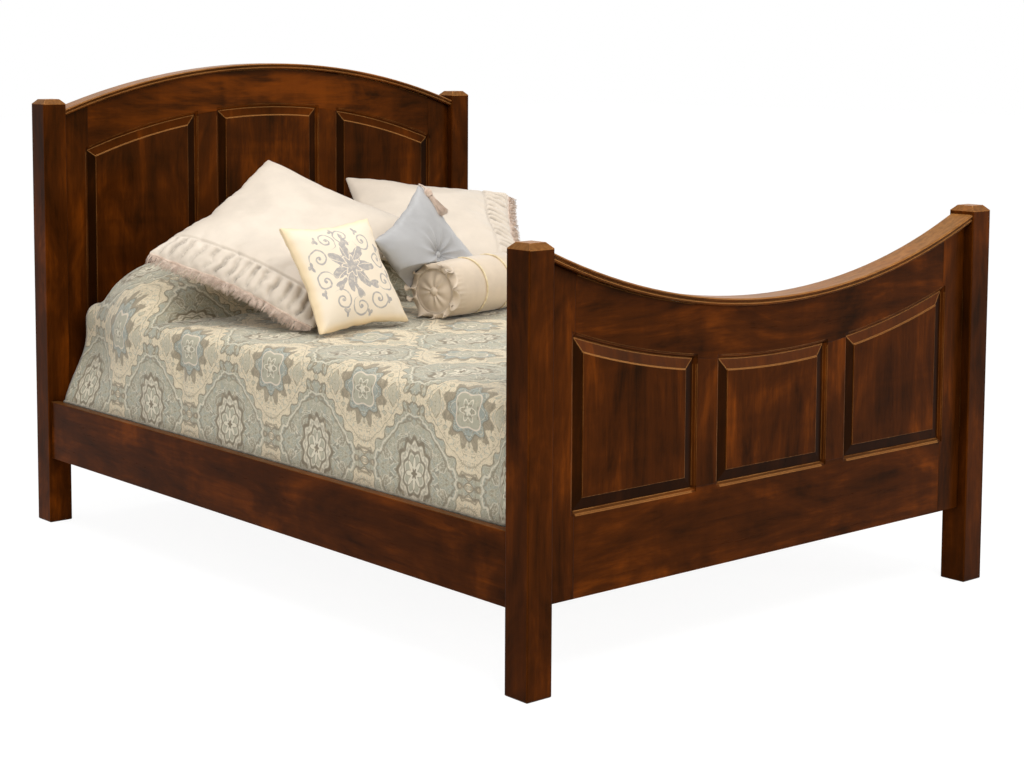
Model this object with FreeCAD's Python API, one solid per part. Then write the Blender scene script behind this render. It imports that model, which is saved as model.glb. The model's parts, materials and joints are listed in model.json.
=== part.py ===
import FreeCAD
import Part
import math
import os

# A queen panel bed in dark stained hardwood, dressed with its mattress, comforter and pillows.
# Lengths are in millimetres. The origin is on the floor at the centre of the bed: X points to the
# right as seen from the foot, Y points to the headboard and Z points up.

Vector = FreeCAD.Vector
ACROSS = Vector(1, 0, 0)
ALONG = Vector(0, 1, 0)
UP = Vector(0, 0, 1)

# ---- mattress set -----------------------------------------------------------------------------
mattress_width = 1524.0
mattress_length = 2024.0
mattress_thickness = 229.0
mattress_corner = 70.0
box_spring_thickness = 140.0
mattress_side_gap = 23.5
mattress_end_gap = 4.0

# ---- posts ------------------------------------------------------------------------------------
post_size = 74.0
head_post_rise = 49.1
foot_post_rise = 42.4
post_top_slope = 14.2
post_edge_round = 3.0
post_foot_chamfer = 3.0

# ---- side rails, cleats and slats ---------------------------------------------------------------
side_rail_thickness = 25.4
side_rail_height = 171.0
side_rail_bottom = 194.0
side_rail_setback = 9.1
side_rail_edge_round = 2.5
cleat_height = 38.0
cleat_width = 25.0
cleat_above_rail_bottom = 10.0
cleat_end_gap = 60.0
slat_width = 89.0
slat_thickness = 19.0
slat_count = 5
slat_end_gap = 1.5
slat_first_inset = 190.0
support_beam_width = 38.0
support_beam_height = 64.0
centre_leg_size = 45.0
centre_leg_offset = 460.0
glide_radius = 17.0
glide_height = 6.0

# ---- hook brackets between side rails and posts -------------------------------------------------
bracket_metal = 3.0
bracket_width = 18.0
bracket_height = 126.0
bracket_wing = 52.0
hook_thickness = 5.0
hook_spacing = 66.0
hook_reach = 9.0
hook_neck = 14.0
hook_drop = 10.0

# ---- headboard and footboard frames ---------------------------------------------------------------
board_thickness = 22.0
board_bottom = 199.0
bottom_rail_height = 197.0
stile_width = 87.0
mullion_width = 88.0
mullion_centre = 233.0
sticking_width = 9.0
sticking_quirk = 1.8
sticking_bevel = 6.0
groove_from_face = 8.0
groove_width = 6.5
groove_depth = 10.0
tenon_length = 25.0
tenon_shoulder = 16.0
board_tongue_thickness = 10.0
board_tongue_length = 9.6

head_opening_crown = 1224.0
head_opening_radius = 1910.0
head_cap_crown = 1343.0
head_cap_radius = 2188.0
foot_opening_crown = 683.0
foot_opening_radius = 2167.0
foot_cap_crown = 808.0
foot_cap_radius = 1911.0

# ---- raised panels ----------------------------------------------------------------------------------
panel_tongue = 6.0
panel_expansion_gap = 1.5
panel_flat_rim = 1.2
panel_bevel_width = 27.0
panel_bevel_rise = 4.2
panel_bevel_lip = 0.2
panel_field_step = 2.2

# ---- cap mouldings ------------------------------------------------------------------------------------
cap_width = 70.0
cap_thickness = 18.0
cap_bead = 4.0
cap_lower_setback = 2.0
cap_bead_facets = 3
cap_quirk = 1.6

# ---- bedding ----------------------------------------------------------------------------------------
comforter_thickness = 18.0
comforter_loft = 20.0
comforter_hem_height = 345.0
comforter_shoulder = 40.0
comforter_head_edge = 1000.0
comforter_edge_slant = 150.0
comforter_edge_lift = 590.0
sleeping_pillow_front = 532.0
sleeping_pillow_rear = 960.0
sleeping_pillow_height = 160.0
sleeping_pillow_half_span = 722.0
sleeping_pillow_valley = 24.0
hill_shoulder_share = 0.88
hill_foot_inset = 26.0
hill_front_shoulder = 92.0
hill_rear_shoulder = 92.0
hill_end_shoulder = 150.0
hill_front_bow = 34.0
hill_rear_bow = 26.0
hill_end_bow = 34.0

cushion_shoulder_share = 0.72
cushion_lift_share = 0.66
cushion_seam_bow_share = 0.17
sham_crown = 66.0
sham_draw_in = 12.0
sham_fringed_side = 540.0
left_sham_length = 600.0
left_sham_centre = Vector(-382, 399, 869)
left_sham_fringe_way = Vector(0.42, -0.84, -0.34)
left_sham_length_way = Vector(0.88, 0.29, 0.39)
right_sham_length = 535.0
right_sham_centre = Vector(312, 583, 840)
right_sham_fringe_way = Vector(-0.514, -0.775, -0.37)
right_sham_length_way = Vector(0.852, -0.51, -0.115)
accent_size = 312.0
accent_crown = 44.0
accent_draw_in = 9.0
accent_centre = Vector(-332, 205, 783)
accent_width_way = Vector(0.995, 0.07, 0.03)
accent_height_way = Vector(-0.05, 0.5, 0.86)
tufted_size = 325.0
tufted_crown = 50.0
tufted_draw_in = 9.0
tufted_centre = Vector(-59, 150, 817)
tufted_level_diagonal = Vector(0.95, 0.12, -0.284)
tufted_falling_diagonal = Vector(-0.2, -0.453, -0.868)
tuft_radius = 62.0
tuft_depth = 24.0
tuft_button_radius = 13.0
tuft_button_height = 9.0
bolster_radius = 74.0
bolster_length = 406.0
bolster_ruffle = 13.0
bolster_end_depth = 12.0
bolster_button_radius = 15.0
bolster_button_height = 7.0
bolster_centre_x = 93.0
bolster_centre_y = 122.0
bolster_way = Vector(0.976, 0.218, 0)
cushion_push = Vector(0.602, 0.79, -0.1165)
cushion_run_up = 400.0
rest_tolerance = 0.02
rest_steps = 40

# ---- clearances ---------------------------------------------------------------------------------------
glue_line = 0.2
fit_gap = 0.3
soft_gap = 0.3

# ---- sizes worked out from the ones above -----------------------------------------------------------
half_rail_gap = mattress_width / 2 + mattress_side_gap
half_width = half_rail_gap + side_rail_thickness + side_rail_setback
half_rail_length = mattress_length / 2 + mattress_end_gap
half_length = half_rail_length + post_size
post_inner_x = half_width - post_size
post_centre_y = half_length - post_size / 2
opening_outer = post_inner_x - stile_width
cleat_bottom = side_rail_bottom + cleat_above_rail_bottom
slat_bottom = cleat_bottom + cleat_height
slat_top = slat_bottom + slat_thickness
box_spring_top = slat_top + box_spring_thickness
mattress_top = box_spring_top + mattress_thickness
comforter_top = mattress_top + comforter_loft
opening_bottom = board_bottom + bottom_rail_height
rail_top = side_rail_bottom + side_rail_height

os.makedirs("parts", exist_ok=True)


def save(name, shape):
    shape.exportStep("parts/" + name + ".step")


def box(x0, x1, y0, y1, z0, z1):
    return Part.makeBox(x1 - x0, y1 - y0, z1 - z0, Vector(x0, y0, z0))


def mirrored(shape):
    return shape.mirror(Vector(0, 0, 0), ACROSS)


def sides(shape):
    """The same piece for the left and for the right of the bed."""
    return {"left": shape, "right": mirrored(shape)}


def edges_where(shape, test):
    return [edge for edge in shape.Edges if test(edge)]


def is_parallel(edge, axis):
    """True for a straight edge that lies along an axis."""
    ends = [vertex.Point for vertex in edge.Vertexes]
    if len(ends) != 2:
        return False
    reach = (ends[1] - ends[0]).Length
    return abs(abs((ends[1] - ends[0]).dot(axis)) - reach) < 1e-6 and abs(edge.Length - reach) < 1e-6


def rounded_box(x0, x1, y0, y1, z0, z1, axis, radius):
    """A block whose long edges along one axis are eased."""
    block = box(x0, x1, y0, y1, z0, z1)
    return block.makeFillet(radius, edges_where(block, lambda edge: is_parallel(edge, axis)))


# ---- arches ---------------------------------------------------------------------------------------
# An arch is a circular arc over the bed's width in the XZ plane: the height at its middle, its radius,
# and +1 where it rises to the middle (headboard) or -1 where it dips there (footboard).


class Arch:
    def __init__(self, crown, radius, bulge):
        self.crown = crown
        self.radius = radius
        self.bulge = bulge

    def lifted(self, distance):
        """The same arch, a constant distance above."""
        return Arch(self.crown + distance, self.radius + self.bulge * distance, self.bulge)

    def centre_height(self):
        return self.crown - self.bulge * self.radius

    def height(self, x):
        return self.centre_height() + self.bulge * math.sqrt(self.radius**2 - x**2)

    def edge(self, x0, x1, y):
        middle = (x0 + x1) / 2
        points = [Vector(x, y, self.height(x)) for x in (x0, middle, x1)]
        return Part.Arc(*points).toShape()


head_opening_arch = Arch(head_opening_crown, head_opening_radius, 1)
head_cap_arch = Arch(head_cap_crown, head_cap_radius, 1)
foot_opening_arch = Arch(foot_opening_crown, foot_opening_radius, -1)
foot_cap_arch = Arch(foot_cap_crown, foot_cap_radius, -1)

# Each post stands a little higher than the underside of the cap that meets it.
head_post_height = head_cap_arch.height(post_inner_x) + head_post_rise
foot_post_height = foot_cap_arch.height(post_inner_x) + foot_post_rise


def arched_wire(x0, x1, bottom, arch, y):
    """A closed outline with straight sides and foot under an arch."""
    low_left = Vector(x0, y, bottom)
    low_right = Vector(x1, y, bottom)
    high_left = Vector(x0, y, arch.height(x0))
    high_right = Vector(x1, y, arch.height(x1))
    return Part.Wire(
        [
            Part.makeLine(low_left, low_right),
            Part.makeLine(low_right, high_right),
            arch.edge(x1, x0, y),
            Part.makeLine(high_left, low_left),
        ]
    )


def arched_slab(x0, x1, bottom, arch, y0, y1):
    return Part.Face(arched_wire(x0, x1, bottom, arch, y0)).extrude(Vector(0, y1 - y0, 0))


def arched_band(x0, x1, lower, upper, y0, y1):
    """The strip between two arches."""
    wire = Part.Wire(
        [
            lower.edge(x0, x1, y0),
            Part.makeLine(Vector(x1, y0, lower.height(x1)), Vector(x1, y0, upper.height(x1))),
            upper.edge(x1, x0, y0),
            Part.makeLine(Vector(x0, y0, upper.height(x0)), Vector(x0, y0, lower.height(x0))),
        ]
    )
    return Part.Face(wire).extrude(Vector(0, y1 - y0, 0))


# ---- panelled boards ----------------------------------------------------------------------------------


def openings():
    """The three panel openings: name, left and right sight line."""
    inner = mullion_centre - mullion_width / 2
    outer = mullion_centre + mullion_width / 2
    return [("left", -opening_outer, -outer), ("centre", -inner, inner), ("right", outer, opening_outer)]


def opening_slab(x0, x1, arch, grow, y0, y1):
    return arched_slab(x0 - grow, x1 + grow, opening_bottom - grow, arch.lifted(grow), y0, y1)


def moulded_blank(opening_arch, cap_arch, face_y):
    """The whole board before it is divided into rails and stiles, with the moulding stuck round each
    opening on the show side and the panel groove run behind it."""
    back_y = face_y + board_thickness
    top_arch = cap_arch.lifted(-glue_line)
    blank = arched_slab(-post_inner_x, post_inner_x, board_bottom, top_arch, face_y, back_y)
    quirk_y = face_y + sticking_quirk
    for name, x0, x1 in openings():
        blank = blank.cut(opening_slab(x0, x1, opening_arch, 0, face_y - 1, back_y + 1))
    for name, x0, x1 in openings():
        blank = blank.cut(opening_slab(x0, x1, opening_arch, sticking_width, face_y - 1, quirk_y))
    sight_edges = []
    for name, x0, x1 in openings():
        outline = arched_wire(x0, x1, opening_bottom, opening_arch, quirk_y)
        for edge in outline.Edges:
            middle = edge.valueAt((edge.FirstParameter + edge.LastParameter) / 2)
            sight_edges.extend(
                edges_where(
                    blank,
                    lambda found: abs(found.Length - edge.Length) < 0.01
                    and found.distToShape(Part.Vertex(middle))[0] < 0.01,
                )
            )
    blank = blank.makeChamfer(sticking_bevel, sight_edges)
    groove_y = face_y + groove_from_face
    groove_back_y = groove_y + groove_width
    for name, x0, x1 in openings():
        blank = blank.cut(opening_slab(x0, x1, opening_arch, groove_depth, groove_y, groove_back_y))
    x0, x1 = -opening_outer, opening_outer
    groove_top = opening_arch.lifted(groove_depth)
    rail_groove = box(x0, x1, groove_y, groove_back_y, opening_bottom - groove_depth, opening_bottom)
    arch_groove = arched_band(x0, x1, opening_arch, groove_top, groove_y, groove_back_y)
    return blank.cut(rail_groove).cut(arch_groove)


def tenon_slab(x0, x1, z0, z1, face_y, gap):
    """A tenon or, with no gap, its mortise, in line with the panel groove."""
    y0 = face_y + groove_from_face + gap
    y1 = face_y + groove_from_face + groove_width - gap
    return box(x0, x1, y0, y1, z0, z1)


def panelled_board(prefix, opening_arch, cap_arch, face_y):
    """Rails, stiles and mullions of one board, each with its tenons, and its three raised panels."""
    blank = moulded_blank(opening_arch, cap_arch, face_y)
    back_y = face_y + board_thickness
    top_z = cap_arch.height(0) + cap_arch.height(post_inner_x)
    y0, y1 = face_y - 1, back_y + 1
    reach = opening_outer + tenon_length
    bottom_tenon = (board_bottom + tenon_shoulder, opening_bottom - tenon_shoulder)
    top_tenon_low = opening_arch.height(opening_outer) + tenon_shoulder
    top_tenon_high = min(cap_arch.height(opening_outer), cap_arch.height(reach)) - tenon_shoulder
    top_tenon = (top_tenon_low, top_tenon_high)
    parts = {}

    stile = blank.common(box(-post_inner_x - 1, -opening_outer, y0, y1, 0, top_z))
    for low, high in (bottom_tenon, top_tenon):
        mortise_end = -reach - fit_gap
        stile = stile.cut(tenon_slab(mortise_end, -opening_outer, low - fit_gap, high + fit_gap, face_y, 0))
    stile = stile.fuse(board_tongue(cap_arch, face_y, 0))
    for side, shape in sides(stile).items():
        parts[prefix + "_stile_" + side] = shape

    bottom_rail = blank.common(box(-opening_outer, opening_outer, y0, y1, 0, opening_bottom))
    over = arched_band(-opening_outer, opening_outer, opening_arch, cap_arch.lifted(cap_thickness), y0, y1)
    top_rail = blank.common(over)
    for side in (-1, 1):
        x0, x1 = sorted((side * opening_outer, side * reach))
        bottom_rail = bottom_rail.fuse(tenon_slab(x0, x1, *bottom_tenon, face_y, fit_gap))
        top_rail = top_rail.fuse(tenon_slab(x0, x1, *top_tenon, face_y, fit_gap))
    parts[prefix + "_bottom_rail"] = bottom_rail
    parts[prefix + "_top_rail"] = top_rail

    inner = mullion_centre - mullion_width / 2
    outer = mullion_centre + mullion_width / 2
    mullion = blank.common(arched_slab(-outer, -inner, opening_bottom, opening_arch, y0, y1))
    stub = groove_depth - fit_gap
    tenons = arched_slab(
        -outer + groove_depth,
        -inner - groove_depth,
        opening_bottom - stub,
        opening_arch.lifted(stub),
        face_y + groove_from_face + fit_gap,
        face_y + groove_from_face + groove_width - fit_gap,
    )
    for side, shape in sides(mullion.fuse(tenons)).items():
        parts[prefix + "_mullion_" + side] = shape

    for name, x0, x1 in openings():
        parts[prefix + "_panel_" + name] = raised_panel(x0, x1, opening_arch, face_y)
    return parts


def board_tongue(cap_arch, face_y, gap):
    """The tongue on a stile's outer edge or, with a gap, the slot for it in the post."""
    middle_y = face_y + board_thickness / 2
    half = board_tongue_thickness / 2 + gap
    low = board_bottom + tenon_shoulder - gap
    outer_x = post_inner_x + board_tongue_length
    high = min(cap_arch.height(post_inner_x), cap_arch.height(outer_x)) - tenon_shoulder + gap
    return box(-outer_x - gap, -post_inner_x, middle_y - half, middle_y + half, low, high)


def raised_panel(x0, x1, arch, face_y):
    """A panel whose tongue sits in the frame's groove and whose bevel rises to a stepped field."""
    tongue_y = face_y + groove_from_face + (groove_width - panel_tongue) / 2
    bevel_y = tongue_y - panel_bevel_rise
    field_y = bevel_y - panel_field_step
    reach = groove_depth - panel_expansion_gap
    tongue = opening_slab(x0, x1, arch, reach, tongue_y, tongue_y + panel_tongue)
    raised = opening_slab(x0, x1, arch, -panel_flat_rim, bevel_y, tongue_y)
    rim = edges_where(raised, lambda edge: all(abs(vertex.Y - bevel_y) < 1e-6 for vertex in edge.Vertexes))
    raised = raised.makeChamfer(panel_bevel_rise - panel_bevel_lip, panel_bevel_width - panel_flat_rim, rim)
    field = opening_slab(x0, x1, arch, -panel_bevel_width, field_y, bevel_y)
    return tongue.fuse([raised, field]).removeSplitter()


def bead_points(nose, low, side):
    """A half-round bead on the cap's edge, as chords from its lower to its upper quirk."""
    points = []
    for index in range(cap_bead_facets + 1):
        angle = math.pi * (index / cap_bead_facets - 0.5)
        sweep = nose - cap_bead + cap_bead * math.cos(angle)
        points.append((side * sweep, low + cap_bead + cap_bead * math.sin(angle)))
    return points


def cap_section(arch, centre_y):
    """The cap's cross-section at mid-width: two rounded beads on each long edge with a quirk between."""
    half = cap_width / 2
    upper_low = cap_thickness - 2 * cap_bead
    quirk_y = half - cap_lower_setback - cap_quirk
    right = bead_points(half - cap_lower_setback, 0, 1)
    right.extend([(quirk_y, 2 * cap_bead), (quirk_y, upper_low)])
    right.extend(bead_points(half, upper_low, 1))
    left = [(-y, z) for y, z in reversed(right)]
    corners = [Vector(0, centre_y + y, arch.crown + z) for y, z in right + left]
    return Part.Face(Part.makePolygon(corners + corners[:1]))


def cap_moulding(arch, centre_y):
    """The moulded cap, bent along the arch and cut to butt against both posts."""
    pivot = Vector(0, centre_y, arch.centre_height())
    end_x = post_inner_x - glue_line
    half_angle = math.degrees(math.asin(end_x / (arch.radius - cap_thickness))) + 1.0
    section = cap_section(arch, centre_y)
    section.rotate(pivot, ALONG, -half_angle)
    swept = section.revolve(pivot, ALONG, 2 * half_angle)
    y0, y1 = centre_y - cap_width, centre_y + cap_width
    return swept.common(box(-end_x, end_x, y0, y1, 0, 2 * head_post_height))


# ---- posts, side rails and the hook brackets between them ----------------------------------------------


def hook_heights():
    middle = side_rail_bottom + side_rail_height / 2
    return [middle - hook_spacing / 2, middle + hook_spacing / 2]


rail_centre_x = half_rail_gap + side_rail_thickness / 2


def slot_plate():
    """The plate let into a post, with a slot for each hook, at the left foot post."""
    y1 = -half_rail_length
    y0 = y1 - bracket_metal
    z0 = side_rail_bottom + (side_rail_height - bracket_height) / 2
    x0 = -rail_centre_x - bracket_width / 2
    plate = box(x0, x0 + bracket_width, y0, y1, z0, z0 + bracket_height)
    for height in hook_heights():
        plate = plate.cut(hook_slot(height, y0 - 1, y1 + 1))
    return plate


def hook_slot(height, y0, y1):
    half = hook_thickness / 2 + 2 * fit_gap
    low = height - hook_neck / 2 - hook_drop - fit_gap
    return box(-rail_centre_x - half, -rail_centre_x + half, y0, y1, low, height + hook_neck / 2 + fit_gap)


def hook_bracket():
    """The angle plate on a rail's end at the left foot corner. Its hooks drop behind the slot plate."""
    y0 = -half_rail_length + glue_line
    y1 = y0 + bracket_metal
    z0 = side_rail_bottom + (side_rail_height - bracket_height) / 2
    z1 = z0 + bracket_height
    inner_x = -half_rail_gap
    end_leaf = box(-rail_centre_x - bracket_width / 2, inner_x, y0, y1, z0, z1)
    wing = box(inner_x - bracket_metal, inner_x, y0, y0 + bracket_wing, z0, z1)
    plate = end_leaf.fuse(wing).removeSplitter()
    hook_x0 = -rail_centre_x - hook_thickness / 2
    hook_x1 = -rail_centre_x + hook_thickness / 2
    behind = -half_rail_length - bracket_metal - fit_gap
    tip = behind - hook_reach
    for height in hook_heights():
        top = height + hook_neck / 2
        neck = box(hook_x0, hook_x1, tip, y0, top - hook_neck, top)
        claw = box(hook_x0, hook_x1, tip, behind, top - hook_neck - hook_drop, top)
        plate = plate.fuse(neck).fuse(claw)
    return plate.removeSplitter()


def all_corners(shape):
    """Copies of a piece of the left foot corner for all four corners."""
    turned = shape.mirror(Vector(0, 0, 0), ALONG)
    return [shape, mirrored(shape), turned, mirrored(turned)]


def post(height, face_y, cap_arch):
    """The left foot post, or with its own height and board, the left head post seen from its board.
    It is built at the foot end; the head post is turned round afterwards."""
    x0, y0 = -half_width, -half_length
    square = rounded_box(x0, x0 + post_size, y0, y0 + post_size, 0, height, UP, post_edge_round)
    shaft = square.common(post_envelope(x0, y0, height))
    shaft = shaft.cut(board_tongue(cap_arch, face_y, fit_gap))
    z0 = side_rail_bottom + (side_rail_height - bracket_height) / 2 - fit_gap
    plate_x0 = -rail_centre_x - bracket_width / 2 - fit_gap
    recess = box(
        plate_x0,
        plate_x0 + bracket_width + 2 * fit_gap,
        -half_rail_length - bracket_metal - fit_gap,
        -half_rail_length + 1,
        z0,
        z0 + bracket_height + 2 * fit_gap,
    )
    shaft = shaft.cut(recess)
    pocket_y = -half_rail_length - bracket_metal - hook_reach - 3 * fit_gap
    for hook_height in hook_heights():
        shaft = shaft.cut(hook_slot(hook_height, pocket_y, -half_rail_length))
    return shaft


def post_envelope(x0, y0, height):
    """The post's square with a small chamfer round its foot and the four-sided slope at its top."""
    block = box(x0, x0 + post_size, y0, y0 + post_size, 0, height)
    for level, size in ((0, post_foot_chamfer), (height, post_top_slope)):
        rim = edges_where(block, lambda edge: all(abs(vertex.Z - level) < 1e-6 for vertex in edge.Vertexes))
        block = block.makeChamfer(size, rim)
    return block


def side_rail():
    """The left side rail with the recesses for a hook bracket at each end."""
    outer_x = -half_rail_gap - side_rail_thickness
    end_y = half_rail_length - glue_line
    rail = rounded_box(
        outer_x, -half_rail_gap, -end_y, end_y, side_rail_bottom, rail_top, ALONG, side_rail_edge_round
    )
    z0 = side_rail_bottom + (side_rail_height - bracket_height) / 2 - fit_gap
    z1 = z0 + bracket_height + 2 * fit_gap
    plate_x0 = -rail_centre_x - bracket_width / 2 - fit_gap
    for end in (-1, 1):
        y_leaf = sorted((end * (end_y + 1), end * (end_y - bracket_metal - fit_gap)))
        y_wing = sorted((end * (end_y + 1), end * (end_y - bracket_wing - fit_gap)))
        rail = rail.cut(box(plate_x0, -half_rail_gap + 1, *y_leaf, z0, z1))
        rail = rail.cut(box(-half_rail_gap - bracket_metal - fit_gap, -half_rail_gap + 1, *y_wing, z0, z1))
    return rail


def cleat():
    end_y = half_rail_length - cleat_end_gap
    x0 = -half_rail_gap + glue_line
    return box(x0, x0 + cleat_width, -end_y, end_y, cleat_bottom, cleat_bottom + cleat_height)


def slat_places():
    reach = mattress_length / 2 - slat_first_inset
    return [-reach + 2 * reach * index / (slat_count - 1) for index in range(slat_count)]


def slat(y):
    half = half_rail_gap - slat_end_gap
    return box(-half, half, y - slat_width / 2, y + slat_width / 2, slat_bottom, slat_top)


def support_beam():
    places = slat_places()
    y0 = places[0] - slat_width / 2
    y1 = places[-1] + slat_width / 2
    top = slat_bottom - glue_line
    half = support_beam_width / 2
    return box(-half, half, y0, y1, top - support_beam_height, top)


def centre_leg(y):
    half = centre_leg_size / 2
    top = slat_bottom - glue_line - support_beam_height - glue_line
    return box(-half, half, y - half, y + half, glide_height + glue_line, top)


def glide(y):
    """The nail-on glide under a leg."""
    return Part.makeCylinder(glide_radius, glide_height, Vector(0, y, 0), UP)


# ---- mattress set and comforter ----------------------------------------------------------------------


def mattress_block(z0, z1, grow):
    """A sprung block with round corners in plan."""
    half_x = mattress_width / 2 + grow
    half_y = mattress_length / 2 + grow
    return rounded_box(-half_x, half_x, -half_y, half_y, z0, z1, UP, mattress_corner + grow)


def bowed(start, end, bow, normal):
    """An arc between two points that bows out by a distance, to the left of its way about a normal."""
    outward = normal.cross(end - start).normalize()
    return Part.Arc(start, (start + end) / 2 + outward * bow, end).toShape()


def pillow_hill(swell):
    """The low hill of the two sleeping pillows, end to end, or with a swell the cover over them: one
    profile run across the bed and one run along it, where both are solid."""
    base = mattress_top + soft_gap
    front = sleeping_pillow_front - swell
    rear = sleeping_pillow_rear + swell
    reach = sleeping_pillow_half_span + swell
    top = mattress_top + sleeping_pillow_height + swell
    rise = top - base
    side_run = [
        Vector(-reach, front + hill_foot_inset, base),
        Vector(-reach, front + hill_front_shoulder, base + rise * hill_shoulder_share),
        Vector(-reach, rear - hill_rear_shoulder, base + rise * hill_shoulder_share),
        Vector(-reach, rear, base),
    ]
    along = Part.Wire(
        [
            bowed(side_run[0], side_run[1], hill_front_bow, ACROSS),
            bowed(side_run[1], side_run[2], top - side_run[1].z, ACROSS),
            bowed(side_run[2], side_run[3], hill_rear_bow, ACROSS),
            Part.makeLine(side_run[3], side_run[0]),
        ]
    )
    shoulder_x = reach - hill_end_shoulder
    shoulder_z = base + rise * hill_shoulder_share
    valley = Vector(0, front, top - sleeping_pillow_valley)
    end_run = [
        Vector(-reach, front, base),
        Vector(-shoulder_x, front, shoulder_z),
        valley,
        Vector(shoulder_x, front, shoulder_z),
        Vector(reach, front, base),
    ]
    hump = top - (shoulder_z + valley.z) / 2
    across = Part.Wire(
        [
            bowed(end_run[0], end_run[1], hill_end_bow, -ALONG),
            bowed(end_run[1], end_run[2], hump, -ALONG),
            bowed(end_run[2], end_run[3], hump, -ALONG),
            bowed(end_run[3], end_run[4], hill_end_bow, -ALONG),
            Part.makeLine(end_run[4], end_run[0]),
        ]
    )
    run = Part.Face(along).extrude(Vector(2 * reach, 0, 0))
    return run.common(Part.Face(across).extrude(Vector(0, rear - front, 0)))


def comforter():
    """The quilted cover over mattress and sleeping pillows, open beneath and at the head."""
    wall = comforter_thickness + soft_gap
    half_x = mattress_width / 2 + wall
    foot_y = -mattress_length / 2 - wall
    block = box(-half_x, half_x, foot_y, comforter_head_edge, comforter_hem_height, comforter_top)
    foot_corners = edges_where(
        block, lambda edge: is_parallel(edge, UP) and all(vertex.Y < 0 for vertex in edge.Vertexes)
    )
    block = block.makeFillet(mattress_corner + wall, foot_corners)
    shoulders = edges_where(
        block,
        lambda edge: all(abs(vertex.Z - comforter_top) < 1e-6 for vertex in edge.Vertexes)
        and not all(abs(vertex.Y - comforter_head_edge) < 1e-6 for vertex in edge.Vertexes),
    )
    block = block.makeFillet(comforter_shoulder, shoulders)
    core = mattress_block(0, mattress_top + soft_gap, soft_gap)
    core_x = mattress_width / 2 + soft_gap
    head_run = box(-core_x, core_x, 0, half_length, 0, mattress_top + soft_gap)
    lifted_edge = Part.Face(
        Part.makePolygon(
            [
                Vector(-half_x - 1, comforter_head_edge, comforter_hem_height),
                Vector(-half_x - 1, comforter_head_edge - comforter_edge_slant, comforter_edge_lift),
                Vector(-half_x - 1, comforter_head_edge + 1, comforter_edge_lift),
                Vector(-half_x - 1, comforter_head_edge + 1, comforter_hem_height),
                Vector(-half_x - 1, comforter_head_edge, comforter_hem_height),
            ]
        )
    ).extrude(Vector(wall + 1, 0, 0))
    cuts = [core, head_run, pillow_hill(0), lifted_edge, mirrored(lifted_edge)]
    return block.fuse(pillow_hill(comforter_loft)).cut(cuts)


def sleeping_pillow():
    """The left one of the two pillows under the comforter, which lie end to end."""
    return pillow_hill(-2 * soft_gap).common(box(-half_width, -soft_gap, 0, half_length, 0, head_post_height))


# ---- cushions --------------------------------------------------------------------------------------------


def cushion_profile(length, crown):
    """The upright section of a stuffed cushion: a low arc over each face, a tighter one to each seam."""
    half = length / 2
    shoulder = half - crown * cushion_shoulder_share
    lift = crown * cushion_lift_share
    seam = crown * cushion_shoulder_share * cushion_seam_bow_share
    edges = []
    for turn in (1, -1):
        right_seam = Vector(turn * half, 0, 0)
        right = Vector(turn * shoulder, 0, turn * lift)
        left = Vector(-turn * shoulder, 0, turn * lift)
        left_seam = Vector(-turn * half, 0, 0)
        edges.append(bowed(right_seam, right, seam, ALONG))
        edges.append(bowed(right, left, crown - lift, ALONG))
        edges.append(bowed(left, left_seam, seam, ALONG))
    return Part.Wire(edges)


def cushion(length, width, crown, draw_in):
    """A stuffed cushion lying in the XY plane: crowned both ways, its sides drawn in between corners."""
    over = 2 * crown
    run = Part.Face(cushion_profile(length, crown)).extrude(Vector(0, width + over, 0))
    run.translate(Vector(0, -width / 2 - crown, 0))
    cross_run = Part.Face(cushion_profile(width, crown)).extrude(Vector(0, length + over, 0))
    cross_run.translate(Vector(0, -length / 2 - crown, 0))
    cross_run.rotate(Vector(0, 0, 0), UP, 90)
    body = run.common(cross_run)
    for half_side, half_run, axis in ((length / 2, width / 2, ACROSS), (width / 2, length / 2, ALONG)):
        radius = (half_run**2 + draw_in**2) / (2 * draw_in)
        for side in (-1, 1):
            centre = axis * (side * (half_side - draw_in + radius)) - UP * crown
            body = body.cut(Part.makeCylinder(radius, 2 * crown, centre, UP))
    return body


def posed(shape, centre, length_axis, width_axis):
    """The shape turned so that its X and Y lie along two directions, with its origin at a point."""
    x = Vector(length_axis).normalize()
    z = x.cross(Vector(width_axis)).normalize()
    y = z.cross(x)
    placed = shape.copy()
    placed.transformShape(
        FreeCAD.Matrix(x.x, y.x, z.x, centre.x, x.y, y.y, z.y, centre.y, x.z, y.z, z.z, centre.z, 0, 0, 0, 1)
    )
    return placed


def settled(shape, supports, direction, lift):
    """The shape slid along a direction, from a lift before its place, until it rests on its supports."""
    step = Vector(direction).normalize()
    rest = Part.Compound(supports)
    moved = shape.copy()
    moved.translate(step * -lift)
    for attempt in range(rest_steps):
        gap = moved.distToShape(rest)[0]
        if gap < soft_gap + rest_tolerance:
            break
        moved.translate(step * (gap - soft_gap))
    return moved


def tufted_cushion():
    """A cushion with the tuft that a button pulls into the middle of each face, and the two buttons."""
    body = cushion(tufted_size, tufted_size, tufted_crown, tufted_draw_in)
    seat_radius = tuft_button_radius + 2 * soft_gap
    pieces = []
    for side in (-1, 1):
        way = UP * side
        body = body.cut(Part.makeCone(tuft_radius, seat_radius, tuft_depth, way * tufted_crown, -way))
        seat = way * (tufted_crown - tuft_depth + soft_gap)
        pieces.append(Part.makeCylinder(tuft_button_radius, tuft_button_height, seat, way))
    return Part.Compound([body] + pieces)


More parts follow.
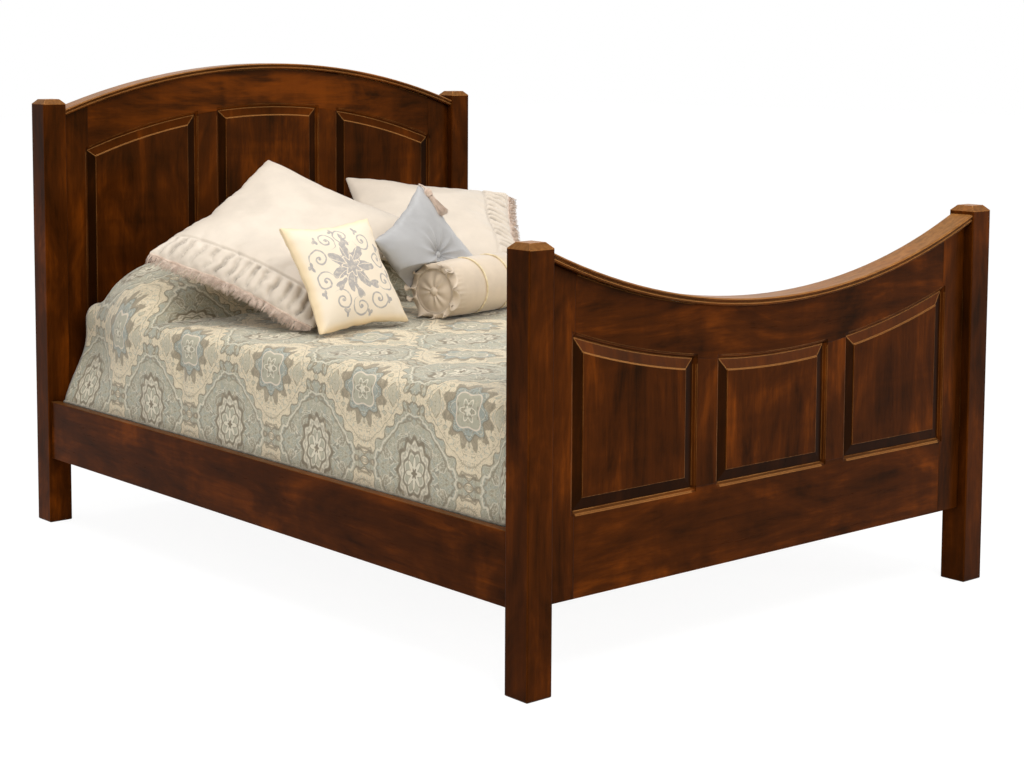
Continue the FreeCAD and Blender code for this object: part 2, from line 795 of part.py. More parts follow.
def bolster():
    """A round neck roll along X and its two buttons. Each end disc lies back inside the ruffle."""
    roll = Part.makeCylinder(bolster_radius, bolster_length, -ACROSS * (bolster_length / 2), ACROSS)
    pieces = []
    for side in (-1, 1):
        way = ACROSS * side
        end = way * (bolster_length / 2)
        roll = roll.cut(Part.makeCylinder(bolster_radius - bolster_ruffle, bolster_end_depth, end, -way))
        seat = end - way * (bolster_end_depth - soft_gap)
        pieces.append(Part.makeCylinder(bolster_button_radius, bolster_button_height, seat, way))
    return Part.Compound([roll] + pieces)


def flattened(shape, level):
    """The shape pressed flat at a level where it rests on something level."""
    bounds = shape.BoundBox
    x0, x1 = bounds.XMin - 1, bounds.XMax + 1
    y0, y1 = bounds.YMin - 1, bounds.YMax + 1
    return shape.cut(box(x0, x1, y0, y1, bounds.ZMin - 1, level + soft_gap))


def sham(length, centre, length_way, fringe_way):
    body = cushion(length, sham_fringed_side, sham_crown, sham_draw_in)
    return posed(body, centre, length_way, -fringe_way)


def pushed_in(shape, roll_centre):
    """The shape with its lower front pushed in where the bolster lies against it."""
    radius = bolster_radius + soft_gap
    reach = bolster_length / 2 + soft_gap
    roll = Part.makeCylinder(radius, 2 * reach, -ACROSS * reach, ACROSS)
    front = box(-bolster_length, bolster_length, -bolster_length, 0, -bolster_radius, 0)
    across_roll = UP.cross(bolster_way)
    return shape.cut([posed(space, roll_centre, bolster_way, across_roll) for space in (roll, front)])


# ---- the bed -----------------------------------------------------------------------------------------------

foot_face_y = -post_centre_y - board_thickness / 2
head_face_y = post_centre_y - board_thickness / 2

for name, shape in panelled_board("foot", foot_opening_arch, foot_cap_arch, foot_face_y).items():
    save(name, shape)
for name, shape in panelled_board("head", head_opening_arch, head_cap_arch, head_face_y).items():
    save(name, shape)
save("foot_cap_moulding", cap_moulding(foot_cap_arch, -post_centre_y))
save("head_cap_moulding", cap_moulding(head_cap_arch, post_centre_y))

foot_post = post(foot_post_height, foot_face_y, foot_cap_arch)
head_post = post(head_post_height, foot_face_y, head_cap_arch).mirror(Vector(0, 0, 0), ALONG)
for end, shape in (("foot", foot_post), ("head", head_post)):
    for side, piece in sides(shape).items():
        save(end + "_post_" + side, piece)

for side, piece in sides(side_rail()).items():
    save("side_rail_" + side, piece)
for side, piece in sides(cleat()).items():
    save("slat_cleat_" + side, piece)
for index, y in enumerate(slat_places()):
    save("slat_" + str(index + 1), slat(y))
save("centre_support_beam", support_beam())
for name, y in (("foot", -centre_leg_offset), ("head", centre_leg_offset)):
    save("centre_leg_" + name, centre_leg(y))
save("leg_glides", Part.Compound([glide(-centre_leg_offset), glide(centre_leg_offset)]))
save("hook_brackets", Part.Compound(all_corners(hook_bracket())))
save("slot_plates", Part.Compound(all_corners(slot_plate())))

save("box_spring", mattress_block(slat_top + soft_gap, box_spring_top, 0))
save("mattress", mattress_block(box_spring_top + soft_gap, mattress_top, 0))
cover = comforter()
save("comforter", cover)
for side, piece in sides(sleeping_pillow()).items():
    save("sleeping_pillow_" + side, piece)

right_sham = sham(right_sham_length, right_sham_centre, right_sham_length_way, right_sham_fringe_way)
right_sham = settled(right_sham, [cover], -UP, cushion_run_up)
save("sham_right", right_sham)
left_sham = sham(left_sham_length, left_sham_centre, left_sham_length_way, left_sham_fringe_way)
left_sham = settled(left_sham, [cover, right_sham], -UP, cushion_run_up)
save("sham_left", left_sham)

roll_centre = Vector(bolster_centre_x, bolster_centre_y, comforter_top + soft_gap + bolster_radius)
roll, *roll_buttons = posed(bolster(), roll_centre, bolster_way, UP.cross(bolster_way)).Solids
save("bolster", roll)
save("bolster_buttons", Part.Compound(roll_buttons))

first_side = tufted_level_diagonal + tufted_falling_diagonal
second_side = tufted_level_diagonal - tufted_falling_diagonal
tufted = posed(tufted_cushion(), tufted_centre, first_side, second_side)
tufted, *tuft_buttons = settled(tufted, [left_sham, right_sham], cushion_push, cushion_run_up).Solids
tufted = flattened(pushed_in(tufted, roll_centre), comforter_top)
save("tufted_pillow", tufted)
save("tuft_buttons", Part.Compound(tuft_buttons))

accent = cushion(accent_size, accent_size, accent_crown, accent_draw_in)
accent = posed(accent, accent_centre, accent_width_way, accent_height_way)
accent = settled(accent, [left_sham, tufted, roll], cushion_push, cushion_run_up)
save("accent_pillow", flattened(accent, comforter_top))
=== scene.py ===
"""Finishes a panel bed: stained frame, steel brackets and made-up bedding. Lengths are in metres."""

import json
import math
import random

import bpy
import numpy as np
from mathutils import Matrix, Vector, noise


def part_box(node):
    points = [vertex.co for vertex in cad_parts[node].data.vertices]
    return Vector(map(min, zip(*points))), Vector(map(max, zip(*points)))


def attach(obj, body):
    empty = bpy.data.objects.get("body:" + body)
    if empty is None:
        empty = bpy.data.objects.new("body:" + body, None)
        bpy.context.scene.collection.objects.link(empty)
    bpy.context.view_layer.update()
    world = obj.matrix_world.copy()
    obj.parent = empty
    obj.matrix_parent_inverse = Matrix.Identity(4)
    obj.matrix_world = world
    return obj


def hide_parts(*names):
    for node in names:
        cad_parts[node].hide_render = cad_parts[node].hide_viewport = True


bl_info = {
    "name": "Panel bed",
    "version": (1, 0, 0),
    "blender": (4, 5, 0),
    "location": "3D View > Sidebar > Bed",
    "description": "Stained panel bed with mattress set, comforter and pillows",
    "category": "Object",
}

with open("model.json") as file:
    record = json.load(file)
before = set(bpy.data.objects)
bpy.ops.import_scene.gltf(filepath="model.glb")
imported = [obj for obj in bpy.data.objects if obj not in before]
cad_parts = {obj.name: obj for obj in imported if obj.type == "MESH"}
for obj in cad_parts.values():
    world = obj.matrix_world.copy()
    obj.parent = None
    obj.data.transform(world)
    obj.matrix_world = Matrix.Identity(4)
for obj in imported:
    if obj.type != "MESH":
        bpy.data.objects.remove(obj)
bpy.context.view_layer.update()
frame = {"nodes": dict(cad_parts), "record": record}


def corners_of(node):
    """The low and the high corner of a CAD node."""
    low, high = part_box(node)
    return Vector(low), Vector(high)


UP = Vector((0.0, 0.0, 1.0))
COVER_LOW, COVER_HIGH = corners_of("comforter")
MATTRESS_LOW, MATTRESS_HIGH = corners_of("mattress")
COVER_LOFT = 0.020
BED_TOP = MATTRESS_HIGH.z + COVER_LOFT


def colour(red, green, blue):
    """A display colour from 0 to 255 as linear red, green, blue and alpha."""
    linear = []
    for level in (red, green, blue):
        share = level / 255
        linear.append(share / 12.92 if share <= 0.04045 else ((share + 0.055) / 1.055) ** 2.4)
    return (*linear, 1.0)


# ---- settings ----------------------------------------------------------------------------------------------


def colour_property(name, description, red, green, blue):
    default = colour(red, green, blue)
    return bpy.props.FloatVectorProperty(
        name=name, description=description, default=default, size=4, subtype="COLOR", min=0, max=1
    )


def length_property(name, description, default):
    return bpy.props.FloatProperty(name=name, description=description, default=default, unit="LENGTH", min=0)


class BedWoodSettings(bpy.types.PropertyGroup):
    # Besides the wood's own colours, dark serves as painted shade on the panels' slopes, and light and worn
    # as painted highlights and painted sheen.
    dark: colour_property("Dark stain", "Stain in the closed grain and the corners", 27, 11, 2)
    middle: colour_property("Stain", "Main colour of the stained wood", 64, 28, 4)
    light: colour_property("Light figure", "Stain where the figure shows", 122, 58, 9)
    worn: colour_property("Worn edge", "Wood where the stain is rubbed through", 214, 150, 84)
    edge_width: length_property("Worn width", "How far the wear reaches from an edge", 0.0034)


class BedClothSettings(bpy.types.PropertyGroup):
    ground: colour_property("Cover ground", "Ground of the printed cover", 219, 203, 172)
    sage: colour_property("Cover sage", "Main figure of the print", 171, 166, 144)
    taupe: colour_property("Cover taupe", "Outlines of the print", 128, 116, 94)
    mist: colour_property("Cover blue", "Petals of the print", 153, 158, 147)
    sham: colour_property("Sham", "Satin of the two shams", 214, 200, 182)
    fringe: colour_property("Fringe", "Brush fringe and tassel", 224, 203, 184)
    accent: colour_property("Accent", "Ground of the printed pillow", 232, 217, 194)
    accent_print: colour_property("Accent print", "Flowers of the printed pillow", 160, 155, 152)
    accent_rim_shade: colour_property("Accent edge", "Edge of the printed pillow", 236, 212, 172)
    tufted: colour_property("Tufted pillow", "Satin of the tufted pillow", 170, 168, 166)
    bolster: colour_property("Bolster", "Satin of the neck roll", 214, 195, 171)
    piping: colour_property("Piping", "Cord on the neck roll", 238, 222, 186)
    ticking: colour_property("Ticking", "Mattress and box spring", 232, 228, 216)


class BedCushionSettings(bpy.types.PropertyGroup):
    pressure: bpy.props.FloatProperty(
        name="Filling", description="Pressure of the filling", default=5.0, min=0
    )
    swelling_frames: bpy.props.IntProperty(
        name="Swelling frames", description="Frames of the simulation that fills a case", default=24, min=1
    )
    case_cell: length_property("Case cell", "Cell of a cushion's cloth before smoothing", 0.0085)
    ruche_width: length_property("Gathered band", "Band between a sham's seam and its fringe", 0.095)
    fringe_length: length_property("Fringe", "Length of the brush fringe", 0.030)


class BedCoverSettings(bpy.types.PropertyGroup):
    cell: length_property("Cell", "Cell of the comforter's cloth", 0.0125)
    repeat_along: length_property("Repeat along", "Repeat of the print along the bed", 0.385)
    repeat_across: length_property("Repeat across", "Repeat of the print across the bed", 0.352)
    print_along: length_property("Print along", "Shift of the print along the bed", 0.459)
    print_across: length_property("Print across", "Shift of the print across the bed", 0.806)
    hem_height: length_property("Hem height", "Height of the hem over the floor", COVER_LOW.z + 0.006)


# ---- shading -----------------------------------------------------------------------------------------------


class Field:
    """A value that varies over a surface. It adds, multiplies and compares as a number does."""

    def __init__(self, shade, socket):
        self.shade = shade
        self.socket = socket

    def join(self, operation, *others):
        return self.shade.sum(operation, self, *others)

    def __add__(self, other):
        return self.join("ADD", other)

    def __sub__(self, other):
        return self.join("SUBTRACT", other)

    def __mul__(self, other):
        return self.join("MULTIPLY", other)

    def __truediv__(self, other):
        return self.join("DIVIDE", other)

    def __rsub__(self, other):
        return self.shade.sum("SUBTRACT", other, self)

    __radd__ = __add__
    __rmul__ = __mul__

    def step(self, low, high):
        """0 under low, 1 over high and smooth between; it falls where low is the larger."""
        node = self.shade.add("MapRange", {"Value": self, "From Min": low, "From Max": high}, clamp=True)
        node.interpolation_type = "SMOOTHSTEP"
        return Field(self.shade, node.outputs["Result"])

    def line(self, half_width):
        """1 where the value is close to 0."""
        return self.join("ABSOLUTE").step(half_width, half_width * 0.4)


class Shade:
    """The nodes of one material."""

    def __init__(self, name, sockets=()):
        self.material = bpy.data.materials.new(name)
        self.material.use_nodes = True
        self.tree = self.material.node_tree
        self.shader = self.tree.nodes["Principled BSDF"]
        for socket, value in dict(sockets).items():
            self.shader.inputs[socket].default_value = value

    def put(self, socket, value):
        if isinstance(value, Field):
            value = value.socket
        if isinstance(value, bpy.types.NodeSocket):
            self.tree.links.new(value, socket)
        else:
            socket.default_value = value

    def add(self, kind, inputs=(), **settings):
        node = self.tree.nodes.new("ShaderNode" + kind)
        for key, value in settings.items():
            setattr(node, key, value)
        for socket, value in dict(inputs).items():
            self.put(node.inputs[socket], value)
        return node

    def sum(self, operation, *values):
        node = self.add("Math", operation=operation)
        for socket, value in zip(node.inputs, values):
            self.put(socket, value)
        return Field(self, node.outputs[0])

    def coordinates(self, kind):
        return self.add("TexCoord").outputs[kind]

    def axes(self, vector):
        split = self.add("SeparateXYZ", {0: vector})
        return [Field(self, socket) for socket in split.outputs]

    def vector(self, x, y, z=0.0):
        return self.add("CombineXYZ", {0: x, 1: y, 2: z}).outputs[0]

    def stretched(self, vector, scale):
        return self.add("Mapping", {"Vector": vector, "Scale": scale}).outputs[0]

    def noise(self, vector, scale, detail=3.0, roughness=0.5, distortion=0.0):
        inputs = {"Vector": vector, "Scale": scale, "Detail": detail, "Roughness": roughness}
        inputs["Distortion"] = distortion
        return Field(self, self.add("TexNoise", inputs).outputs[0])

    def open_sky(self, distance, samples, only_local=False):
        """1 in the open, less in corners and creases within a distance."""
        node = self.add("AmbientOcclusion", {"Distance": distance}, samples=samples, only_local=only_local)
        return Field(self, node.outputs["AO"])

    def mix(self, share, under, over):
        node = self.add("Mix", {0: share, 6: under, 7: over}, data_type="RGBA")
        return node.outputs[2]

    def bump(self, height, strength, distance, normal=None):
        node = self.add("Bump", {"Height": height, "Strength": strength, "Distance": distance})
        if normal is not None:
            self.put(node.inputs["Normal"], normal)
        return node.outputs["Normal"]

    def finish(self, base, roughness=None, normal=None):
        self.put(self.shader.inputs["Base Color"], base)
        if roughness is not None:
            self.put(self.shader.inputs["Roughness"], roughness)
        if normal is not None:
            self.put(self.shader.inputs["Normal"], normal)
        return self.material


def grain_scale(grain, along, across):
    """Scale of a pattern along the grain's axis and across it."""
    return tuple(along if axis == grain else across for axis in "XYZ")


def darker(tint, share):
    """A colour at a share of its brightness."""
    return tuple(level * share for level in tint[:3]) + (1.0,)


def stained_wood(name, grain, settings, figure=0.5, sheen=0.0, wear_and_highlight_zone=None):
    """Blotchy dark stain with fine grain along one axis, rubbed to amber on its open edges, with painted
    highlights, painted sheen and painted shade that follow which way a face looks.
    """
    shade = Shade(name, {"Specular IOR Level": 0.028, "Specular Tint": (1.0, 0.62, 0.30, 1.0)})
    place = shade.coordinates("Object")
    fibres = shade.stretched(place, grain_scale(grain, 1.0, 11.0))
    streak = shade.noise(fibres, 4.5, 6.0, 0.60, 0.6)
    pores = shade.noise(fibres, 42.0, 3.0, 0.6)
    blotch = shade.noise(shade.stretched(place, grain_scale(grain, 0.55, 1.5)), 5.0, 4.0, 0.60, 0.8)
    curl = shade.noise(shade.stretched(place, grain_scale(grain, 14.0, 3.0)), 1.0, 2.0, 0.5, 0.9)
    tone = streak * 0.24 + blotch * 0.62 + pores * 0.06 + curl * (0.14 * figure) + 0.07 * (1 - figure)
    deep = shade.mix(tone.step(0.34, 0.58), settings.dark[:], settings.middle[:])
    shown = shade.mix(tone.step(0.52, 0.80), deep, settings.light[:])
    if grain == "X":
        # Painted light: the head's arched top rail is the best lit, so its stain is painted lighter and
        # warmer there.
        across, _, height = shade.axes(place)
        in_rail = height.step(0.98, 1.12) * height.step(1.345, 1.315)
        best_lit = in_rail * across.join("ABSOLUTE").step(0.66, 0.20)
        shown = shade.mix(best_lit * (tone.step(0.40, 0.60) * 0.55 + 0.06), shown, settings.light[:])

    geometry = shade.add("NewGeometry")
    _, front, up = shade.axes(geometry.outputs["Normal"])
    # Painted shade on the panels' slopes that face aside or down, and painted light on the slopes that face
    # up.
    slope = front.join("ABSOLUTE").step(0.996, 0.990) * front.join("ABSOLUTE").step(0.90, 0.96)
    shown = shade.mix(slope * up.step(0.06, 0.02) * 0.80, shown, darker(settings.dark, 0.55))
    shown = shade.mix(slope * up.step(0.06, 0.12) * 0.12, shown, settings.light[:])

    # Painted highlight lines where a rounded edge turns up, and a lighter glow along rounded edges, partly
    # wear and partly painted highlight, left off on panel edges that face aside or down.
    rounded = shade.add("Bevel", {"Radius": settings.edge_width}, samples=6)
    lifted = shade.axes(rounded.outputs["Normal"])[2]
    glint = (lifted - up).join("ABSOLUTE").step(0.022, 0.060) * lifted.step(0.01, 0.06)
    facing = shade.add(
        "VectorMath", {0: rounded.outputs["Normal"], 1: geometry.outputs["Normal"]}, operation="DOT_PRODUCT"
    )
    turned = Field(shade, facing.outputs["Value"])
    zone = wear_and_highlight_zone(*shade.axes(place)) if wear_and_highlight_zone else 1.0
    below = slope_line(front) * (1.0 - lifted.step(0.0, 0.05)) * 0.85
    shown = shade.mix(turned.step(0.9995, 0.95) * (1.0 - below) * zone * 0.40, shown, settings.light[:])
    # The worn colour serves here as painted highlight on these lines.
    bright = glint * slope_line(front) * zone * (up.step(-0.01, 0.03) * 0.2 + 0.28)
    shown = shade.mix(bright, shown, settings.worn[:])
    # Rubbed wear on open, outward edges; edges that face up get more, as painted highlight.
    edge = turned.step(0.97, 0.88) * zone
    edge = edge * shade.open_sky(0.012, 6, only_local=True).step(0.70, 0.93)
    rub = shade.noise(fibres, 9.0, 4.0, 0.7).step(0.36, 0.66)
    worn = edge * (rub * 0.45 + 0.15) * (up.step(0.0, 0.6) * 0.9 + 0.6)
    base = shade.mix(worn, shown, settings.worn[:])
    # Darker in corners and recesses.
    recess_darkening = (1.0 - shade.open_sky(0.03, 4).step(0.25, 0.85)) * 0.7
    base = shade.mix(recess_darkening, base, settings.dark[:])
    # Painted sheen: faces that look up are painted towards the worn colour, patchy with the rub.
    if sheen:
        base = shade.mix(up.step(0.45, 0.95) * sheen * (rub * 0.4 + 0.6), base, settings.worn[:])
    normal = shade.bump(pores * 0.5 + streak * 0.5, 0.16, 0.0008, rounded.outputs["Normal"])
    return shade.finish(base, pores * 0.08 + streak * 0.12 + 0.20, normal)


def slope_line(front):
    """1 on faces that look almost straight ahead or back, such as a panel's field and its slopes."""
    return front.join("ABSOLUTE").step(0.94, 0.97)


# Where the openings of the boards lie, in metres from the bed's middle plane and from the floor.
OPENING_HALF_WIDTH = 0.659
OPENING_BOTTOM = 0.396
MULLION_INNER, MULLION_OUTER = 0.189, 0.277


def rail_wear_and_highlight(x, y, z):
    """Rails are rubbed and take painted highlights between the stiles, but not where a mullion meets them."""
    across = x.join("ABSOLUTE")
    past_inner = across.step(MULLION_INNER - 0.005, MULLION_INNER - 0.002)
    before_outer = across.step(MULLION_OUTER + 0.005, MULLION_OUTER + 0.002)
    mullion = past_inner * before_outer * z.step(OPENING_BOTTOM - 0.046, OPENING_BOTTOM - 0.036)
    return across.step(OPENING_HALF_WIDTH - 0.003, OPENING_HALF_WIDTH - 0.006) * (1.0 - mullion)


def opening_wear_and_highlight(y, z, head_top, foot_top):
    """1 along the openings' height. The foot's openings end lower than the head's."""
    top = head_top - y.step(0.01, -0.01) * (head_top - foot_top)
    return z.step(OPENING_BOTTOM + 0.003, OPENING_BOTTOM + 0.006) * (top - z).step(0.0, 0.003)


def stile_wear_and_highlight(x, y, z):
    """Stiles are rubbed and take painted highlights along the openings alone, up to where the arch meets
    them.
    """
    return opening_wear_and_highlight(y, z, 1.103, 0.782)


def mullion_wear_and_highlight(x, y, z):
    """Mullions are rubbed and take painted highlights between the bottom rail and the arch."""
    return opening_wear_and_highlight(y, z, 1.201, 0.688)


def plain_softwood(name, grain):
    shade = Shade(name, {"Specular IOR Level": 0.25})
    place = shade.coordinates("Object")
    fibres = shade.stretched(place, grain_scale(grain, 1.0, 9.0))
    rings = shade.noise(fibres, 7.0, 4.0, 0.6, 1.2)
    pores = shade.noise(fibres, 60.0, 3.0)
    base = shade.mix(rings.step(0.3, 0.7), colour(206, 172, 128), colour(176, 134, 88))
    base = shade.mix(pores.step(0.55, 0.8) * 0.3, base, colour(140, 100, 62))
    return shade.finish(base, pores * 0.15 + 0.55, shade.bump(rings + pores, 0.3, 0.0006))


def plated_steel(name):
    shade = Shade(name, {"Metallic": 1.0, "Specular IOR Level": 0.5})
    place = shade.coordinates("Object")
    brushed = shade.noise(shade.stretched(place, (1.0, 1.0, 30.0)), 60.0, 4.0, 0.6)
    spangle = shade.noise(place, 140.0, 2.0)
    base = shade.mix(spangle.step(0.35, 0.7), colour(150, 150, 152), colour(190, 191, 194))
    return shade.finish(base, brushed * 0.2 + 0.30, shade.bump(brushed, 0.15, 0.0003))


def black_nylon(name):
    shade = Shade(name, {"Specular IOR Level": 0.4})
    place = shade.coordinates("Object")
    grain = shade.noise(place, 900.0, 3.0)
    scuffs = shade.noise(place, 60.0, 4.0, 0.7).step(0.55, 0.8)
    base = shade.mix(scuffs * 0.5, colour(20, 20, 21), colour(62, 60, 58))
    return shade.finish(base, grain * 0.2 + 0.45, shade.bump(grain, 0.3, 0.0003))


def woven(shade, vector, thread, strength, slub):
    """The bump of a plain weave with its slub, on a map in metres."""
    across, along, _ = shade.axes(vector)
    turns = math.pi / thread
    warp = (across * turns).join("SINE")
    weft = (along * turns).join("SINE")
    return shade.bump(warp * weft * 0.5 + slub, strength, thread * 0.5)


def satin(name, base, cloud=0.10, sheen=0.25, roughness=0.42, thread=0.0006, crease_shade_strength=0.95):
    """Smooth satin with a slub, a soft tonal cloud and painted shade in its creases, on the cloth's own map.
    """
    shade = Shade(name, {"Specular IOR Level": 0.35, "Sheen Weight": sheen, "Sheen Roughness": 0.35})
    flat = shade.coordinates("UV")
    place = shade.coordinates("Object")
    slub = shade.noise(shade.stretched(flat, (700.0, 60.0, 1.0)), 1.0, 3.0, 0.6)
    cloud_field = shade.noise(place, 9.0, 4.0, 0.6)
    shaded = darker(base, 1 - 2.2 * cloud)
    tint = shade.mix(cloud_field.step(0.35, 0.75), base[:], shaded)
    tint = shade.mix(slub.step(0.5, 0.85) * 0.25, tint, shaded)
    # Painted shade in creases and folds.
    crease_shade = shade.open_sky(0.022, 6, only_local=True).step(0.97, 0.55)
    tint = shade.mix(crease_shade * crease_shade_strength, tint, darker(base, 0.45))
    return shade.finish(tint, slub * 0.12 + roughness - 0.06, woven(shade, flat, thread, 0.12, slub))


def fibre_cloth(name, base, deep, scale=900.0):
    """Matt yarn: fringe, tassel and cord."""
    shade = Shade(name, {"Specular IOR Level": 0.2, "Sheen Weight": 0.4, "Sheen Roughness": 0.5})
    place = shade.coordinates("Object")
    yarn = shade.noise(place, scale, 3.0, 0.6)
    cloud = shade.noise(place, 60.0, 3.0)
    tint = shade.mix((yarn * 0.6 + cloud * 0.6).step(0.45, 0.75), base[:], deep)
    return shade.finish(tint, yarn * 0.2 + 0.6, shade.bump(yarn, 0.4, 0.0006))


def ticking(name, base):
    shade = Shade(name, {"Specular IOR Level": 0.25, "Sheen Weight": 0.15})
    place = shade.coordinates("Object")
    x, y, _ = shade.axes(place)
    stripe = ((x + y) * 330.0).join("SINE").step(0.2, 0.5)
    fuzz = shade.noise(place, 500.0, 3.0)
    tint = shade.mix(stripe * 0.25, base[:], colour(190, 186, 172))
    return shade.finish(tint, fuzz * 0.15 + 0.7, shade.bump(fuzz + stripe * 0.3, 0.25, 0.0006))


def polar(shade, u, v):
    """Distance and turn (0 to 1) about a centre."""
    radius = (u * u + v * v).join("SQRT")
    turn = shade.sum("ARCTAN2", v, u) / (2 * math.pi)
    return radius, turn


def petals(radius, turn, count, reach, depth, phase=0.0):
    """How far a place lies outside a rosette whose edge waves with the number of petals."""
    wave = ((turn * count + phase) * (2 * math.pi)).join("COSINE")
    return radius - (wave * depth + reach)


def printed_sateen(name, cover, cloth):
    """The comforter's damask: ogee frames round large rosettes, with small squared rosettes between."""
    shade = Shade(name, {"Specular IOR Level": 0.25, "Sheen Weight": 0.2, "Sheen Roughness": 0.5})
    flat = shade.coordinates("UV")
    pale = colour(216, 207, 184)
    bend = shade.noise(flat, 6.0, 2.0) - 0.5
    across, along, _ = shade.axes(flat)
    u_turn = (along + cover.print_along + bend * 0.012) / cover.repeat_along
    v_turn = (across + cover.print_across - bend * 0.012) / cover.repeat_across

    def cell(turn, repeat, shift):
        return ((turn + shift).join("FRACT") - 0.5) * repeat

    small_u = cell(u_turn, cover.repeat_along, 0.5)
    small_v = cell(v_turn, cover.repeat_across, 0.5)
    large_u = cell(u_turn, cover.repeat_along, 0.0)
    large_v = cell(v_turn, cover.repeat_across, 0.0)

    # Leafage drawn once and mirrored both ways, as in a woven damask.
    mirrored = shade.vector(small_u.join("ABSOLUTE"), small_v.join("ABSOLUTE"))
    leafage = shade.noise(mirrored, 15.0, 2.0, 0.55, 1.1)
    curls = shade.noise(mirrored, 30.0, 2.0, 0.5, 1.7)
    sprays = shade.noise(mirrored, 62.0, 1.0, 0.5, 1.5)
    notch = (u_turn * (2 * math.pi * 11)).join("COSINE") + (v_turn * (2 * math.pi * 10)).join("COSINE")
    swing = (u_turn * (2 * math.pi)).join("COSINE") + (v_turn * (2 * math.pi)).join("COSINE")
    frame_edge = swing + (leafage - 0.5) * 0.9
    scalloped = frame_edge + notch * 0.09
    inside = scalloped.step(0.04, -0.04)

    tint = cloth.ground[:]

    def lay(share, dye):
        nonlocal tint
        tint = shade.mix(share, tint, dye[:])

    lay(inside, cloth.sage)
    lay(curls.step(0.53, 0.56) * inside * 0.55, cloth.mist)
    lay(leafage.step(0.56, 0.58) * inside * 0.5, cloth.taupe)
    lay((leafage - 0.555).line(0.014) * inside * 0.8, pale)
    lay(leafage.step(0.55, 0.57) * (1.0 - inside) * 0.65, cloth.sage)
    lay((leafage - 0.55).line(0.016) * (1.0 - inside) * 0.7, cloth.taupe)
    lay((curls - 0.47).line(0.016) * 0.55, cloth.taupe)
    lay((curls - 0.42).line(0.012) * inside * 0.6, pale)
    lay((sprays - 0.50).line(0.030) * inside * 0.42, pale)
    lay((sprays - 0.42).line(0.026) * 0.42, cloth.taupe)
    lay(sprays.step(0.60, 0.64) * (1.0 - inside) * 0.45, cloth.mist)
    lay(scalloped.line(0.070) * 0.8, cloth.taupe)
    lay((frame_edge + 0.26).line(0.06) * 0.8, pale)
    lay((frame_edge + 0.38).line(0.05) * 0.65, cloth.taupe)
    lay((frame_edge - 0.34).line(0.05) * 0.45, cloth.taupe)

    # The large oval rosette in each frame.
    radius, turn = polar(shade, large_u * 1.22, large_v * 0.92)
    outline = petals(radius, turn, 12, 0.078, 0.006)
    lay(outline.step(0.003, -0.003), cloth.taupe)
    outline = petals(radius, turn, 12, 0.066, 0.005)
    lay(outline.step(0.003, -0.003), pale)
    lace = shade.noise(shade.vector(radius * 90.0, (turn * 24.0).join("FRACT")), 1.0, 1.0)
    lay(outline.step(0.0, -0.003) * lace.step(0.48, 0.60) * 0.5, cloth.taupe)
    ring = petals(radius, turn, 8, 0.047, 0.004, 0.5)
    lay(ring.step(0.002, -0.002), cloth.sage)
    lay(ring.line(0.005) * 0.9, cloth.taupe)
    lay((ring + 0.007).line(0.003) * 0.8, pale)
    flower = petals(radius, turn, 8, 0.027, 0.010)
    lay(flower.step(0.002, -0.002), pale)
    lay(flower.line(0.003) * 0.8, cloth.taupe)
    core = petals(radius, turn, 6, 0.010, 0.003)
    lay(core.step(0.001, -0.001), cloth.taupe)

    # The small squared rosette with leaves on the cream ground.
    radius, turn = polar(shade, small_u, small_v)
    ragged = (curls - 0.5) * 0.03
    sprig = petals(radius, turn, 12, 0.080, 0.012, 0.5)
    lay((sprig + ragged).step(0.003, -0.003) * 0.75, cloth.taupe)
    mist = petals(radius, turn, 8, 0.064, 0.009)
    mist = mist + ragged * 0.4
    lay(mist.step(0.002, -0.002), cloth.mist)
    lay(mist.line(0.0028) * 0.8, cloth.taupe)
    lay((mist + 0.010).line(0.0022) * 0.6, pale)
    lay((sprays - 0.5).line(0.05) * mist.step(0.0, -0.003) * 0.6, cloth.taupe)
    square = petals(radius, turn, 4, 0.044, 0.007, 0.5)
    lay(square.step(0.002, -0.002), cloth.sage)
    lay(square.line(0.0030), colour(214, 200, 178))
    lay(curls.step(0.50, 0.54) * square.step(0.0, -0.003) * 0.6, cloth.taupe)
    flower = petals(radius, turn, 6, 0.021, 0.006)
    lay(flower.line(0.0030), pale)
    core = petals(radius, turn, 5, 0.009, 0.003)
    lay(core.step(0.001, -0.001), pale)

    # A worn, uneven print on a fine diagonal weave.
    patchy = shade.noise(flat, 48.0, 4.0, 0.7)
    lay(patchy.step(0.50, 0.76) * 0.5, cloth.ground)
    speck = shade.noise(flat, 150.0, 3.0, 0.7)
    lay(speck.step(0.54, 0.78) * 0.45, cloth.taupe)
    twill = ((across + along) * (math.pi / 0.0009)).join("SINE")
    normal = shade.bump(twill * 0.4 + patchy, 0.10, 0.0009)
    return shade.finish(tint, speck * 0.1 + 0.55, normal)


